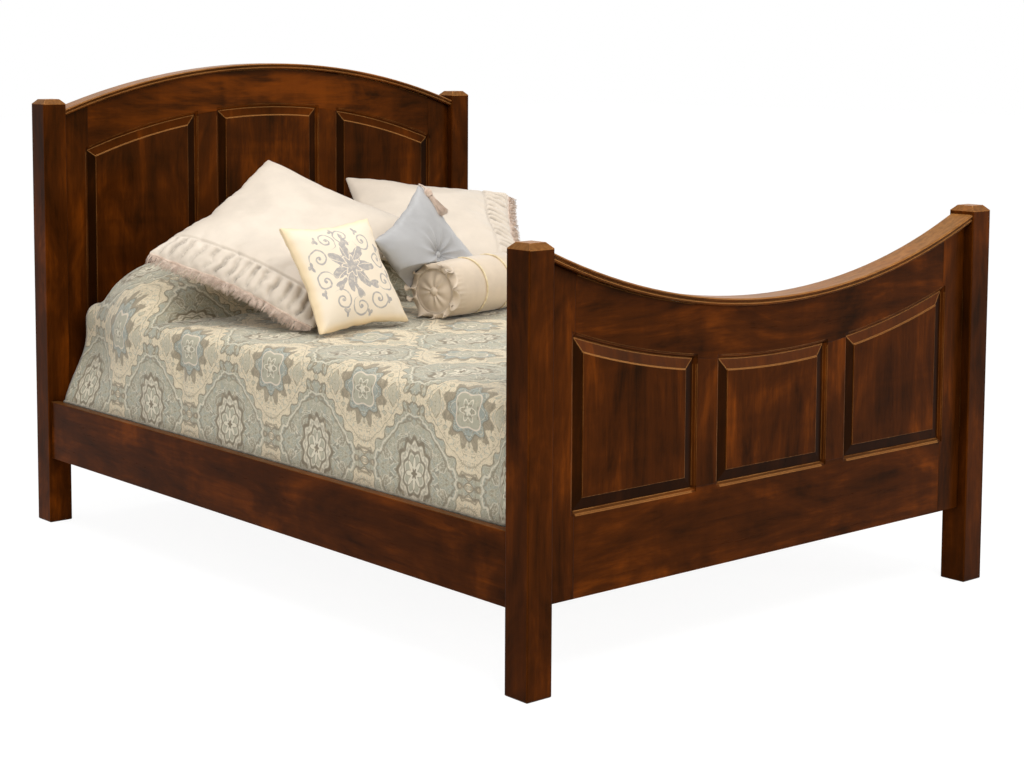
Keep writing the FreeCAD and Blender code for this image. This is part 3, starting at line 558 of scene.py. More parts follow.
def printed_accent(name, cloth):
    """The printed pillow: a large flower with leaves and a wreath of scrolls, on the case's own map."""
    shade = Shade(name, {"Specular IOR Level": 0.2, "Sheen Weight": 0.15})
    flat = shade.coordinates("UV")
    u, v, _ = shade.axes(flat)
    wobble = (shade.noise(flat, 9.0, 2.0) - 0.5) * 0.03
    u = u - 0.5 + wobble
    v = v - 0.5 - wobble
    ink = None

    def stamp(mark):
        nonlocal ink
        ink = mark if ink is None else ink.join("MAXIMUM", mark)

    radius, turn = polar(shade, u + 0.01, v - 0.03)
    flower = petals(radius, turn, 7, 0.185, 0.060, 0.15)
    ragged = (shade.noise(flat, 30.0, 2.0) - 0.5) * 0.03
    body = (flower + ragged).step(0.004, -0.004)
    hollow = petals(radius, turn, 7, 0.080, 0.024, 0.65)
    body = body * (1.0 - hollow.line(0.010))
    veins = ((turn * 14.0) * (2 * math.pi)).join("COSINE").step(0.93, 0.99) * radius.step(0.06, 0.09)
    stamp(body * (1.0 - veins))
    leaves = ((-0.02, -0.21, 0.3), (0.16, -0.16, 1.3), (-0.19, -0.12, -1.1), (0.02, 0.29, 0.0))
    for leaf_u, leaf_v, tilt in leaves:
        cos, sin = math.cos(tilt), math.sin(tilt)
        leaf_x = (u - leaf_u) * cos + (v - leaf_v) * sin
        leaf_y = (v - leaf_v) * cos - (u - leaf_u) * sin
        radius, turn = polar(shade, leaf_x * 2.1, leaf_y)
        leaf = petals(radius, turn, 3, 0.070, 0.022, 0.25)
        stamp(leaf.step(0.003, -0.003))
    scroll_count = 10
    reach_u, reach_v = 0.34, 0.35
    for index in range(scroll_count):
        angle = 2 * math.pi * (index + 0.35) / scroll_count
        centre_u = reach_u * math.cos(angle)
        centre_v = reach_v * math.sin(angle)
        hand = 1 if index % 2 else -1
        radius, turn = polar(shade, u - centre_u, v - centre_v)
        coil = (turn * hand + radius * 15.0 + index * 0.37).join("FRACT") - 0.5
        stamp(coil.line(0.17) * radius.step(0.104, 0.096))
        stamp(radius.step(0.017, 0.013))
        tip_u = (reach_u + 0.085) * math.cos(angle + 0.22)
        tip_v = (reach_v + 0.075) * math.sin(angle + 0.22)
        radius, turn = polar(shade, (u - tip_u) * 1.4, v - tip_v)
        bud = petals(radius, turn, 3, 0.034, 0.014, index * 0.13)
        stamp(bud.step(0.002, -0.002))
    worn = shade.noise(flat, 24.0, 4.0, 0.7).step(0.30, 0.55)
    ink = ink * (worn * 0.55 + 0.45)
    rim = u.join("ABSOLUTE").join("MAXIMUM", v.join("ABSOLUTE"))
    ink = ink * rim.step(0.46, 0.44)
    # Painted shade: a yellower rim all round, as the pillow's sides look in shade.
    edge = rim.step(0.42, 0.50)
    tint = shade.mix(edge, cloth.accent[:], cloth.accent_rim_shade[:])
    tint = shade.mix(ink * 0.9, tint, cloth.accent_print[:])
    grain = shade.noise(shade.stretched(flat, (420.0, 420.0, 1.0)), 1.0, 2.0)
    return shade.finish(tint, grain * 0.15 + 0.55, shade.bump(grain, 0.15, 0.0005))


# ---- mesh helpers ------------------------------------------------------------------------------------------


def wake(piece):
    """Leaves one piece selected and active, in object mode."""
    bpy.ops.object.select_all(action="DESELECT")
    piece.select_set(True)
    bpy.context.view_layer.objects.active = piece


def clear_selection():
    if bpy.context.object and bpy.context.object.mode != "OBJECT":
        bpy.ops.object.mode_set(mode="OBJECT")
    bpy.ops.object.select_all(action="DESELECT")


def named(name):
    piece = bpy.context.object
    piece.name = name
    piece.data.name = name
    return piece


def apply_modifier(piece, kind, **settings):
    wake(piece)
    modifier = piece.modifiers.new(kind.title(), kind)
    for key, value in settings.items():
        setattr(modifier, key, value)
    bpy.ops.object.modifier_apply(modifier=modifier.name)


def subdivide_smooth(piece, levels=1):
    apply_modifier(piece, "SUBSURF", levels=levels, render_levels=levels)


def shade_smooth(piece, angle=None):
    wake(piece)
    if angle is None:
        bpy.ops.object.shade_smooth()
    else:
        bpy.ops.object.shade_smooth_by_angle(angle=math.radians(angle))


def sized(piece, scale, place=(0, 0, 0)):
    """Gives a primitive its size and place, in its mesh."""
    piece.scale = scale
    piece.location = place
    wake(piece)
    bpy.ops.object.transform_apply(location=True, rotation=True, scale=True)


def points_of(piece):
    data = np.empty(len(piece.data.vertices) * 3)
    piece.data.vertices.foreach_get("co", data)
    return data.reshape(-1, 3)


def set_points(piece, points):
    piece.data.vertices.foreach_set("co", np.ascontiguousarray(points).ravel())
    piece.data.update()


def normals_of(piece):
    data = np.empty(len(piece.data.vertices) * 3)
    piece.data.vertex_normals.foreach_get("vector", data)
    return data.reshape(-1, 3)


def move_points(piece, change):
    """Puts each vertex where change says, given its place."""
    set_points(piece, np.array([change(*point) for point in points_of(piece)]))


def face_outward(piece, merge=0.0):
    """Turns every face outwards, after merging what lies closer than a distance."""
    wake(piece)
    bpy.ops.object.mode_set(mode="EDIT")
    bpy.ops.mesh.select_all(action="SELECT")
    if merge:
        bpy.ops.mesh.remove_doubles(threshold=merge)
    bpy.ops.mesh.normals_make_consistent(inside=False)
    bpy.ops.object.mode_set(mode="OBJECT")


def select_parts(piece, kind, wanted):
    """Opens a piece in edit mode with only the wanted faces or edges selected."""
    wake(piece)
    bpy.ops.object.mode_set(mode="EDIT")
    bpy.ops.mesh.select_mode(type=kind)
    bpy.ops.mesh.select_all(action="DESELECT")
    bpy.ops.object.mode_set(mode="OBJECT")
    for part in piece.data.polygons if kind == "FACE" else piece.data.edges:
        part.select = wanted(part)
    bpy.ops.object.mode_set(mode="EDIT")


def hand_over(piece, slot, material, *nodes):
    """Gives a finished piece its material and its place in the object."""
    piece.data.materials.clear()
    piece.data.materials.append(material)
    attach(piece, "root")
    if nodes:
        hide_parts(*nodes)
    return piece


def tube(name, points, radius, closed=False):
    """A round cord through points, as a mesh."""
    curve = bpy.data.curves.new(name, "CURVE")
    curve.dimensions = "3D"
    curve.bevel_depth = radius
    curve.bevel_resolution = 1
    curve.use_fill_caps = not closed
    spline = curve.splines.new("POLY")
    spline.points.add(len(points) - 1)
    for point, place in zip(spline.points, points):
        point.co = (*place, 1.0)
    spline.use_cyclic_u = closed
    cord = bpy.data.objects.new(name, curve)
    bpy.context.scene.collection.objects.link(cord)
    wake(cord)
    bpy.ops.object.convert(target="MESH")
    shade_smooth(cord)
    return bpy.context.object


def joined(name, pieces):
    bpy.ops.object.select_all(action="DESELECT")
    for piece in pieces:
        piece.select_set(True)
    bpy.context.view_layer.objects.active = pieces[0]
    bpy.ops.object.join()
    return named(name)


def ripple(place, scale, seed=0.0):
    """Smooth noise about 0 at a point, for a wavelength of about 1 over scale."""
    return noise.noise(Vector(place) * scale + Vector((seed, seed * 1.7, seed * 0.6)))


def smooth_step(value, low, high):
    share = min(max((value - low) / (high - low), 0.0), 1.0)
    return share * share * (3 - 2 * share)


def bell(distance, width):
    """1 at no distance, close to 0 past twice the width."""
    return math.exp(-((distance / width) ** 2))


# ---- frame finishes ----------------------------------------------------------------------------------------


class BED_OT_finish_frame(bpy.types.Operator):
    """Stains the posts, rails, stiles, panels and side rails, and finishes the slats"""

    bl_idname = "bed.finish_frame"
    bl_label = "Finish frame"

    def execute(self, context):
        wood = context.scene.bed_wood
        finishes = {
            "post_wood": stained_wood("post stain", "Z", wood, 0.4, 0.5),
            "rail_wood": stained_wood("rail stain", "X", wood, 0.8, 0.14, rail_wear_and_highlight),
            "stile_wood": stained_wood("stile stain", "Z", wood, 0.5, 0.0, stile_wear_and_highlight),
            "mullion_wood": stained_wood("mullion stain", "Z", wood, 0.5, 0.0, mullion_wear_and_highlight),
            "panel_wood": stained_wood("panel stain", "Z", wood, 1.0),
            "cap_wood": stained_wood("cap stain", "X", wood, 0.4, 0.40),
            "side_rail_wood": stained_wood("side rail stain", "Y", wood, 0.6, 0.12),
            "slat_wood": plain_softwood("slat softwood", "X"),
            "glide_plastic": black_nylon("glide nylon"),
            "bracket_steel": plated_steel("bracket steel"),
        }
        for part in frame["record"]["subparts"]:
            slot_name = "mullion_wood" if "mullion" in part["node"] else part["material_slot"]
            finish = finishes.get(slot_name)
            if finish is None:
                continue
            node = frame["nodes"][part["node"]]
            for slot in node.material_slots:
                slot.material = finish
        return {"FINISHED"}


class BED_OT_screws(bpy.types.Operator):
    """Adds the screws that hold the hook brackets to the side rails"""

    bl_idname = "bed.screws"
    bl_label = "Bracket screws"

    def execute(self, context):
        low, high = corners_of("hook_brackets")
        rail_low, rail_high = corners_of("side_rail_right")
        head_radius, head_height, recess = 0.0042, 0.0018, 0.0011
        from_rail_end = 0.040
        clear_selection()
        bpy.ops.mesh.primitive_cylinder_add(vertices=20, radius=head_radius, depth=head_height)
        pattern = named("screw_pattern")
        select_parts(pattern, "FACE", lambda face: face.normal.z > 0.9)
        bpy.ops.mesh.inset(thickness=0.0011)
        bpy.ops.transform.translate(value=(0, 0, 0.0006))
        bpy.ops.mesh.inset(thickness=0.0012)
        bpy.ops.mesh.extrude_region_move(TRANSFORM_OT_translate={"value": (0, 0, -recess)})
        bpy.ops.object.mode_set(mode="OBJECT")
        shade_smooth(pattern, 35)
        heights = [low.z + (high.z - low.z) * share for share in (0.14, 0.5, 0.86)]
        screws = []
        steel = plated_steel("screw steel")
        for side in (-1, 1):
            for end in (-1, 1):
                for height in heights:
                    screw = bpy.data.objects.new("screw", pattern.data.copy())
                    context.scene.collection.objects.link(screw)
                    turn = Matrix.Rotation(math.radians(-90 * side), 4, "Y")
                    x = side * (rail_low.x - head_height / 2)
                    y = end * (rail_high.y - from_rail_end)
                    screw.data.transform(Matrix.Translation((x, y, height)) @ turn)
                    screws.append(screw)
        bpy.data.objects.remove(pattern)
        hand_over(joined("bracket_screws", screws), "bracket_steel", steel)
        return {"FINISHED"}


# ---- mattress set ------------------------------------------------------------------------------------------


def upholstered_block(name, node, corner, seam_radius, quilt, material, slot, head_draw):
    """A block with round corners, a dimpled face and a corded seam round its top and bottom."""
    inset = 0.003
    seam_from_edge = 0.012
    steps = 10
    low, high = corners_of(node)

    def drawn(x, y):
        return x * (1 - head_draw * smooth_step(y, high.y - 0.42, high.y - 0.07))

    def upright(edge):
        first, last = (block.data.vertices[index].co for index in edge.vertices)
        return abs(first.z - last.z) > 0.01

    clear_selection()
    bpy.ops.mesh.primitive_cube_add(size=1)
    block = named(name)
    sized(block, high - low - Vector((2 * inset, 2 * inset, 2 * inset)), (low + high) / 2)
    select_parts(block, "EDGE", upright)
    bpy.ops.mesh.bevel(offset=corner, segments=7, profile=0.5, affect="EDGES")
    bpy.ops.object.mode_set(mode="OBJECT")
    apply_modifier(
        block, "BEVEL", width=0.018, segments=3, limit_method="ANGLE", angle_limit=math.radians(60)
    )
    face_outward(block)
    apply_modifier(block, "REMESH", mode="VOXEL", voxel_size=quilt / 4.5, use_smooth_shade=True)
    points = points_of(block)
    for index, (point, normal) in enumerate(zip(points, normals_of(block))):
        if abs(normal[2]) > 0.7:
            dimple = math.cos(math.pi * point[0] / quilt) * math.cos(math.pi * point[1] / quilt)
        else:
            run = point[0] if abs(normal[1]) > abs(normal[0]) else point[1]
            dimple = math.cos(math.pi * run / quilt)
        points[index] -= normal * (0.0022 * (1 - dimple * dimple))
        points[index][0] = drawn(points[index][0], point[1])
    set_points(block, points)
    shade_smooth(block)
    rims = []
    reach_x, reach_y = high.x - inset - corner, high.y - inset - corner
    for level in (low.z + seam_from_edge, high.z - seam_from_edge):
        path = []
        for turn, (side_x, side_y) in enumerate(((1, 1), (-1, 1), (-1, -1), (1, -1))):
            for step in range(steps + 1):
                angle = math.pi / 2 * (turn + step / steps)
                x = side_x * reach_x + corner * math.cos(angle)
                y = side_y * reach_y + corner * math.sin(angle)
                path.append((drawn(x, y), y, level))
        rims.append(tube(name + "_seam", path, seam_radius, closed=True))
    hand_over(block, slot, material, node)
    hand_over(joined(name + "_seams", rims), slot, material)


class BED_OT_mattress_set(bpy.types.Operator):
    """Adds the quilted mattress and its box spring"""

    bl_idname = "bed.mattress_set"
    bl_label = "Mattress set"

    def execute(self, context):
        base = context.scene.bed_cloth.ticking
        cloth = ticking("mattress ticking", base)
        upholstered_block("quilted_mattress", "mattress", 0.075, 0.004, 0.11, cloth, "mattress_ticking", 0.15)
        cloth = ticking("box spring cloth", base)
        upholstered_block(
            "covered_box_spring", "box_spring", 0.072, 0.0035, 0.22, cloth, "box_spring_cloth", 0.035
        )
        return {"FINISHED"}


# ---- comforter ---------------------------------------------------------------------------------------------

HILL_FRONT = 0.532
HILL_RISE = 0.142
HILL_HALF_SPAN = 0.778


class Cover:
    """Where a point of the comforter's cloth lies. Its flat map has 0 across at the middle of the bed."""

    corner = 0.088
    shoulder = 0.046

    def __init__(self, settings):
        self.half_width = COVER_HIGH.x - 0.001
        self.foot = -COVER_LOW.y - 0.001
        self.straight_x = self.half_width - self.corner
        self.straight_y = self.foot - self.corner
        self.level = self.corner - self.shoulder
        self.arc = self.shoulder * math.pi / 2
        self.drop = BED_TOP - self.shoulder - settings.hem_height
        self.reach = self.level + self.arc + self.drop
        self.head = COVER_HIGH.y - 0.004

    def width(self):
        return 2 * (self.straight_x + self.reach)

    def length(self):
        return self.head + self.straight_y + self.reach

    def fall(self, distance):
        """How far out and how far down a point lies, past the start of the corner zone."""
        if distance <= self.level:
            return distance, 0.0
        bend = distance - self.level
        if bend < self.arc:
            angle = bend / self.shoulder
            return self.level + self.shoulder * math.sin(angle), self.shoulder * (1 - math.cos(angle))
        return self.corner, self.shoulder + bend - self.arc

    def drawn_in(self, along, down):
        """Share by which the cloth is drawn towards the bed's middle near the headboard."""
        return 0.100 * smooth_step(along, 0.62, 0.97) * smooth_step(down, 0.30, 0.08)

    def top(self, x, y):
        """Height of the comforter's top at a place in the bed."""
        return BED_TOP + self.hill(x / (1 - self.drawn_in(y, 0.0)), y)

    def hill(self, x, y):
        """Rise over the sleeping pillows."""
        share = min(abs(x) / HILL_HALF_SPAN, 1.0)
        lateral = max(1 - share**8, 0.0)
        valley = 0.20 * bell(x, 0.10)
        front = smooth_step(y, HILL_FRONT - 0.012, HILL_FRONT + 0.085) ** 0.6
        rear = 1 - smooth_step(y, 0.885, 0.975)
        crown = 0.94 + 0.06 * math.sin(math.pi * min(max((y - HILL_FRONT) / 0.42, 0), 1))
        return HILL_RISE * lateral * front * rear * crown * (1 - valley)

    def point(self, across, along):
        """Place in the bed for a place on the flat cloth."""
        over_x = abs(across) - self.straight_x
        over_y = -along - self.straight_y
        side = 1 if across >= 0 else -1
        if over_x <= 0 and over_y <= 0:
            x, y, down, out = across, along, 0.0, (0.0, 0.0)
        elif over_y <= 0:
            reach, down = self.fall(over_x)
            x, y, out = side * (self.straight_x + reach), along, (side, 0.0)
        elif over_x <= 0:
            reach, down = self.fall(over_y)
            x, y, out = across, -(self.straight_y + reach), (0.0, -1.0)
        else:
            reach, down = self.fall(max(over_x, over_y))
            if over_x >= over_y:
                angle = math.pi / 4 * over_y / over_x
            else:
                angle = math.pi / 2 - math.pi / 4 * over_x / over_y
            out = (side * math.cos(angle), -math.sin(angle))
            x = side * self.straight_x + reach * out[0]
            y = -self.straight_y + reach * out[1]
        z = BED_TOP - down
        steep = smooth_step(down, 0.004, self.shoulder + 0.03)
        top_share = 1 - steep

        hill = self.hill(x, y)
        z += hill * (1 - smooth_step(down, 0.0, 0.05))
        # The pillows' front leans over a tucked fold.
        front = bell(y - HILL_FRONT - 0.03, 0.035) * min(hill / 0.05, 1.0)
        y -= 0.028 * front * top_share
        crease = bell(y - HILL_FRONT + 0.006, 0.012) * smooth_step(abs(x), 0.76, 0.70)
        z -= 0.010 * crease * top_share

        # Loft, dimples and pulls over the top.
        spot = (across, along, 0)
        puff = 0.0055 * ripple(spot, 5.0, 3.1) + 0.0050 * ripple(spot, 11.0, 7.7)
        pull = 0.0030 * (1 - abs(ripple((across * 0.6 + along * 0.3, along * 0.9, 0), 17.0, 1.3)) * 3)
        crinkle = 0.0016 * ripple((across, along * 1.6, 0), 28.0, 9.0)
        z += (puff + pull + crinkle) * top_share
        gather = bell(y - HILL_FRONT, 0.10)
        z += 0.0045 * gather * ripple((across * 2.6, along * 0.5, 0), 10.0, 4.4) * top_share

        # Folds down the sides, held in below the rail's top.
        held = 0.75 * smooth_step(down, self.drop * 0.86, self.drop + 0.04)
        free = smooth_step(down, 0.03, 0.16) * (1 - held)
        wave = 0.5 * ripple((along, across * 0.12, 0), 5.2, 5.5)
        wave += 0.35 * ripple((along, across * 0.3, 0), 12.0, 2.2)
        swing = (0.011 * wave - 0.003) * free
        wrinkle = 0.0026 * ripple((along * 2.0, z * 0.7, 0), 14.0, 8.1) * steep
        fold = -0.012 * bell(along - 0.36, 0.016) * bell(down - 0.10, 0.07)
        move = min(swing + wrinkle + fold, 0.004)
        x = (x + out[0] * move) * (1 - self.drawn_in(along, down))
        y += out[1] * min(move, 0.001)
        return x, y, z


class BED_OT_comforter(bpy.types.Operator):
    """Adds the printed comforter and its corded hem"""

    bl_idname = "bed.comforter"
    bl_label = "Comforter"

    def execute(self, context):
        settings = context.scene.bed_cover
        cover = Cover(settings)
        columns = round(cover.width() / settings.cell)
        rows = round(cover.length() / settings.cell)
        clear_selection()
        bpy.ops.mesh.primitive_grid_add(x_subdivisions=columns, y_subdivisions=rows, size=1)
        quilt = named("comforter_cloth")
        sized(quilt, (cover.width(), cover.length(), 1), (0, cover.head - cover.length() / 2, 0))
        flat = points_of(quilt)
        map_layer = quilt.data.uv_layers.active.data
        for loop in quilt.data.loops:
            x, y, _ = flat[loop.vertex_index]
            map_layer[loop.index].uv = (x, y + cover.hill(x, y) * 0.75)
        move_points(quilt, lambda x, y, z: cover.point(x, y))
        shade_smooth(quilt)
        apply_modifier(
            quilt, "SOLIDIFY", thickness=0.012, offset=-1.0, use_rim=True, use_quality_normals=True
        )
        printed = printed_sateen("printed sateen", settings, context.scene.bed_cloth)
        hand_over(quilt, "comforter_cloth", printed, "comforter")

        hem = tube("comforter_hem", self.hem_path(cover), 0.0042)
        cord = fibre_cloth("hem cord", colour(150, 140, 122), colour(110, 100, 84))
        hand_over(hem, "comforter_cloth", cord)
        # The corners' cloth is gathered, so a part of each corner square isn't there.
        corner_share = 0.30
        area = cover.width() * cover.length() - 2 * cover.reach**2 * corner_share
        return {"FINISHED"}

    def hem_path(self, cover):
        """Points a little inside the hem, from the head on the left round the foot and back."""
        step, raised = 0.015, 0.014
        edge = cover.straight_x + cover.reach
        foot = -(cover.straight_y + cover.reach)
        turns = [(-edge, cover.head), (-edge, foot), (edge, foot), (edge, cover.head)]
        flat = [turns[0]]
        for (x0, y0), (x1, y1) in zip(turns, turns[1:]):
            count = round(math.hypot(x1 - x0, y1 - y0) / step)
            for index in range(1, count + 1):
                flat.append((x0 + (x1 - x0) * index / count, y0 + (y1 - y0) * index / count))
        path = []
        for x, y, z in (cover.point(*place) for place in flat):
            path.append((x * 0.9990, y + (0.0010 if y < -1.0 else 0.0), z + raised))
        return path


# ---- cushions ----------------------------------------------------------------------------------------------


SEAM_HALF = 0.004


def mark_flat(piece, points):
    """Keeps each vertex's place in the flat case, so that seams can follow the cloth later."""
    layer = piece.data.attributes.new("case_place", "FLOAT_VECTOR", "POINT")
    layer.data.foreach_set("vector", np.ascontiguousarray(points).ravel())


def flat_places(piece):
    layer = piece.data.attributes["case_place"]
    data = np.empty(len(layer.data) * 3)
    layer.data.foreach_get("vector", data)
    return data.reshape(-1, 3)


def crowned(x, y, length, width, crown, draw_in):
    """A plain cushion form: where a point of the flat case comes to lie."""
    share_x, share_y = 2 * x / length, 2 * y / width
    plump = max((1 - share_x**4) * (1 - share_y**4), 0.0) ** 0.5
    new_x = x * (1 - 2 * draw_in / length * (1 - share_y**2))
    new_y = y * (1 - 2 * draw_in / width * (1 - share_x**2))
    return new_x, new_y, crown * plump


def stuffed_case(name, length, width, crown, draw_in, settings, cell=None, growth=1.07):
    """A sewn case, flat at first and then filled, fitted to a length, a width and a crown."""
    cell = cell or settings.case_cell
    clear_selection()
    bpy.ops.mesh.primitive_grid_add(
        x_subdivisions=round(length / cell), y_subdivisions=round(width / cell), size=1
    )
    case = named(name)
    sized(case, (length, width, 1))
    bpy.ops.object.mode_set(mode="EDIT")
    bpy.ops.mesh.select_all(action="SELECT")
    bpy.ops.mesh.extrude_region_move(TRANSFORM_OT_translate={"value": (0, 0, -2 * SEAM_HALF)})
    bpy.ops.object.mode_set(mode="OBJECT")
    face_outward(case)
    flat = points_of(case) + np.array([0, 0, SEAM_HALF])
    mark_flat(case, flat)
    start = flat.copy()
    for index, (x, y, z) in enumerate(flat):
        x, y, rise = crowned(x, y, length, width, crown * 0.45, 0.0)
        start[index] = (x * growth, y * growth, z + math.copysign(rise, z))
    set_points(case, start)
    swell(case, settings)
    fit_case(case, flat, length, width, crown, draw_in)
    return case


def swell(case, settings):
    """Fills a case by a short cloth simulation without gravity."""
    wake(case)
    scene = bpy.context.scene
    modifier = case.modifiers.new("Cloth", "CLOTH")
    cloth = modifier.settings
    cloth.quality = 5
    cloth.mass = 0.25
    cloth.tension_stiffness = 18
    cloth.compression_stiffness = 12
    cloth.shear_stiffness = 6
    cloth.bending_stiffness = 0.35
    cloth.use_pressure = True
    cloth.uniform_pressure_force = settings.pressure
    cloth.effector_weights.gravity = 0
    modifier.collision_settings.use_collision = False
    modifier.point_cache.frame_start = 1
    modifier.point_cache.frame_end = settings.swelling_frames
    for number in range(1, settings.swelling_frames + 1):
        scene.frame_set(number)
    bpy.ops.object.modifier_apply(modifier=modifier.name)
    scene.frame_set(1)


def fit_case(case, flat, length, width, crown, draw_in):
    """Brings a filled case to its real size and mixes it with the plain form, so that it keeps its seams."""
    points = points_of(case)
    points -= (points.max(axis=0) + points.min(axis=0)) / 2
    size = points.max(axis=0) - points.min(axis=0)
    points *= np.array([length, width, 2 * crown]) / size
    own_share = np.array([0.14, 0.14, 0.55])
    for index, (x, y, z) in enumerate(flat):
        plain_x, plain_y, rise = crowned(x, y, length, width, crown - SEAM_HALF, draw_in)
        plain = np.array([plain_x, plain_y, z + math.copysign(rise, z)])
        points[index] = points[index] * own_share + plain * (1 - own_share)
    set_points(case, points)


def push_out(piece, amount):
    """Moves each vertex along its normal by a distance worked out from its place on the flat case."""
    points = points_of(piece)
    normals = normals_of(piece)
    places = flat_places(piece)
    for index, place in enumerate(places):
        points[index] += normals[index] * amount(place)
    set_points(piece, points)


def pose_matrix(centre, length_way, width_way):
    x = Vector(length_way).normalized()
    z = x.cross(Vector(width_way)).normalized()
    turn = Matrix((x, z.cross(x), z)).transposed().to_4x4()
    return Matrix.Translation(centre) @ turn


def pose(piece, matrix):
    piece.data.transform(matrix)
    piece.data.update()


def soft_floor(height, level, softness):
    """The height itself well over a level, and a height that nears the level smoothly under it."""
    depth = level - height
    if depth > -softness:
        return level + softness * math.exp(-(depth + softness) / softness)
    return height


def rest_on_bed(piece, level):
    """Presses a cushion flat where it would sink under a level."""
    move_points(piece, lambda x, y, z: (x, y, soft_floor(z, level, 0.012)))


def strand_mesh(name, strands, radius):
    """Many thin tapered strands as one mesh. Each strand is a list of points."""
    sides = 4
    corners, faces = [], []
    for path in strands:
        start = len(corners)
        for step, place in enumerate(path):
            ahead = path[min(step + 1, len(path) - 1)] - path[max(step - 1, 0)]
            side_way = ahead.orthogonal().normalized()
            other_way = ahead.normalized().cross(side_way)
            share = 1 - 0.45 * step / (len(path) - 1)
            for corner in range(sides):
                angle = 2 * math.pi * corner / sides
                offset = side_way * math.cos(angle) + other_way * math.sin(angle)
                corners.append(place + offset * (radius * share))
        for step in range(len(path) - 1):
            for corner in range(sides):
                a = start + step * sides + corner
                b = start + step * sides + (corner + 1) % sides
                faces.append((a, b, b + sides, a + sides))
        faces.append(tuple(start + corner for corner in reversed(range(sides))))
        last = start + (len(path) - 1) * sides
        faces.append(tuple(last + corner for corner in range(sides)))
    mesh = bpy.data.meshes.new(name)
    mesh.from_pydata(corners, [], faces)
    mesh.update()
    bundle = bpy.data.objects.new(name, mesh)
    bpy.context.scene.collection.objects.link(bundle)
    shade_smooth(bundle)
    return bundle


def seam_points(case, edge_x, width):
    """The case's seam along one end, in order, as points in the bed."""
    points = points_of(case)
    places = flat_places(case)
    ring = {}
    for place, point in zip(places, points):
        if abs(place[0] - edge_x) < 0.0015:
            ring.setdefault(round((place[1] + width / 2) / 0.012), []).append(Vector(point))
    return [sum(found, Vector()) / len(found) for _, found in sorted(ring.items())]


def brush_fringe(name, seam, outward, length, seed):
    """A dense brush fringe along a seam, as bent strands in two layers; the gimp braid they hang from is
    another piece.
    """
    chance = random.Random(seed)
    strands = []
    spacing = 0.0017
    for start, end in zip(seam, seam[1:]):
        run = end - start
        count = max(round(run.length / spacing), 1)
        for index in range(count):
            for layer in range(2):
                root = start + run * ((index + chance.random()) / count)
                along = run.normalized() * chance.uniform(-0.30, 0.30)
                lift = UP * (0.10 - 0.35 * chance.random() + (0.12 if layer else -0.10))
                way = (outward + along + lift).normalized()
                reach = length * chance.uniform(0.75, 1.08)
                bend = UP * (-0.30 * reach * chance.uniform(0.5, 1.3))
                path = []
                for step in range(5):
                    share = step / 4
                    swirl = run.normalized() * (0.0016 * math.sin(6 * share + index * 1.3))
                    path.append(root + way * (reach * share) + bend * share**2 + swirl * share)
                strands.append(path)
    return strand_mesh(name, strands, 0.00085)


def gathered(place, seed):
    """Height of the pleats of a gathered band at a place along it: round folds between sharp creases."""
    sway = 1.3 * ripple((place[0] * 11, place[1] * 9, seed), 1.0)
    sway += 0.8 * ripple((place[0] * 40, place[1] * 26, seed), 1.0)
    fold = abs(math.sin(place[1] * 88.0 + sway))
    strength = 0.75 + 0.9 * ripple((place[0] * 14, place[1] * 22, seed + 3), 1.0)
    return (fold**0.7 - 0.75) * strength


def unevenness(place, depth, scale, seed):
    """Broad, soft bumps of a filled case, other ones on each face."""
    return depth * ripple((place[0], place[1], place[2] * 20), scale, seed)


def square_puckers(place, size, depth, scale, seed):
    """Small puckers along the seam of a square case."""
    rim = size / 2 - max(abs(place[0]), abs(place[1]))
    run = place[0] if abs(place[1]) > abs(place[0]) else place[1]
    return depth * smooth_step(rim, 0.05, 0.0) * ripple((run, rim * 0.3, place[2] * 9), scale, seed)


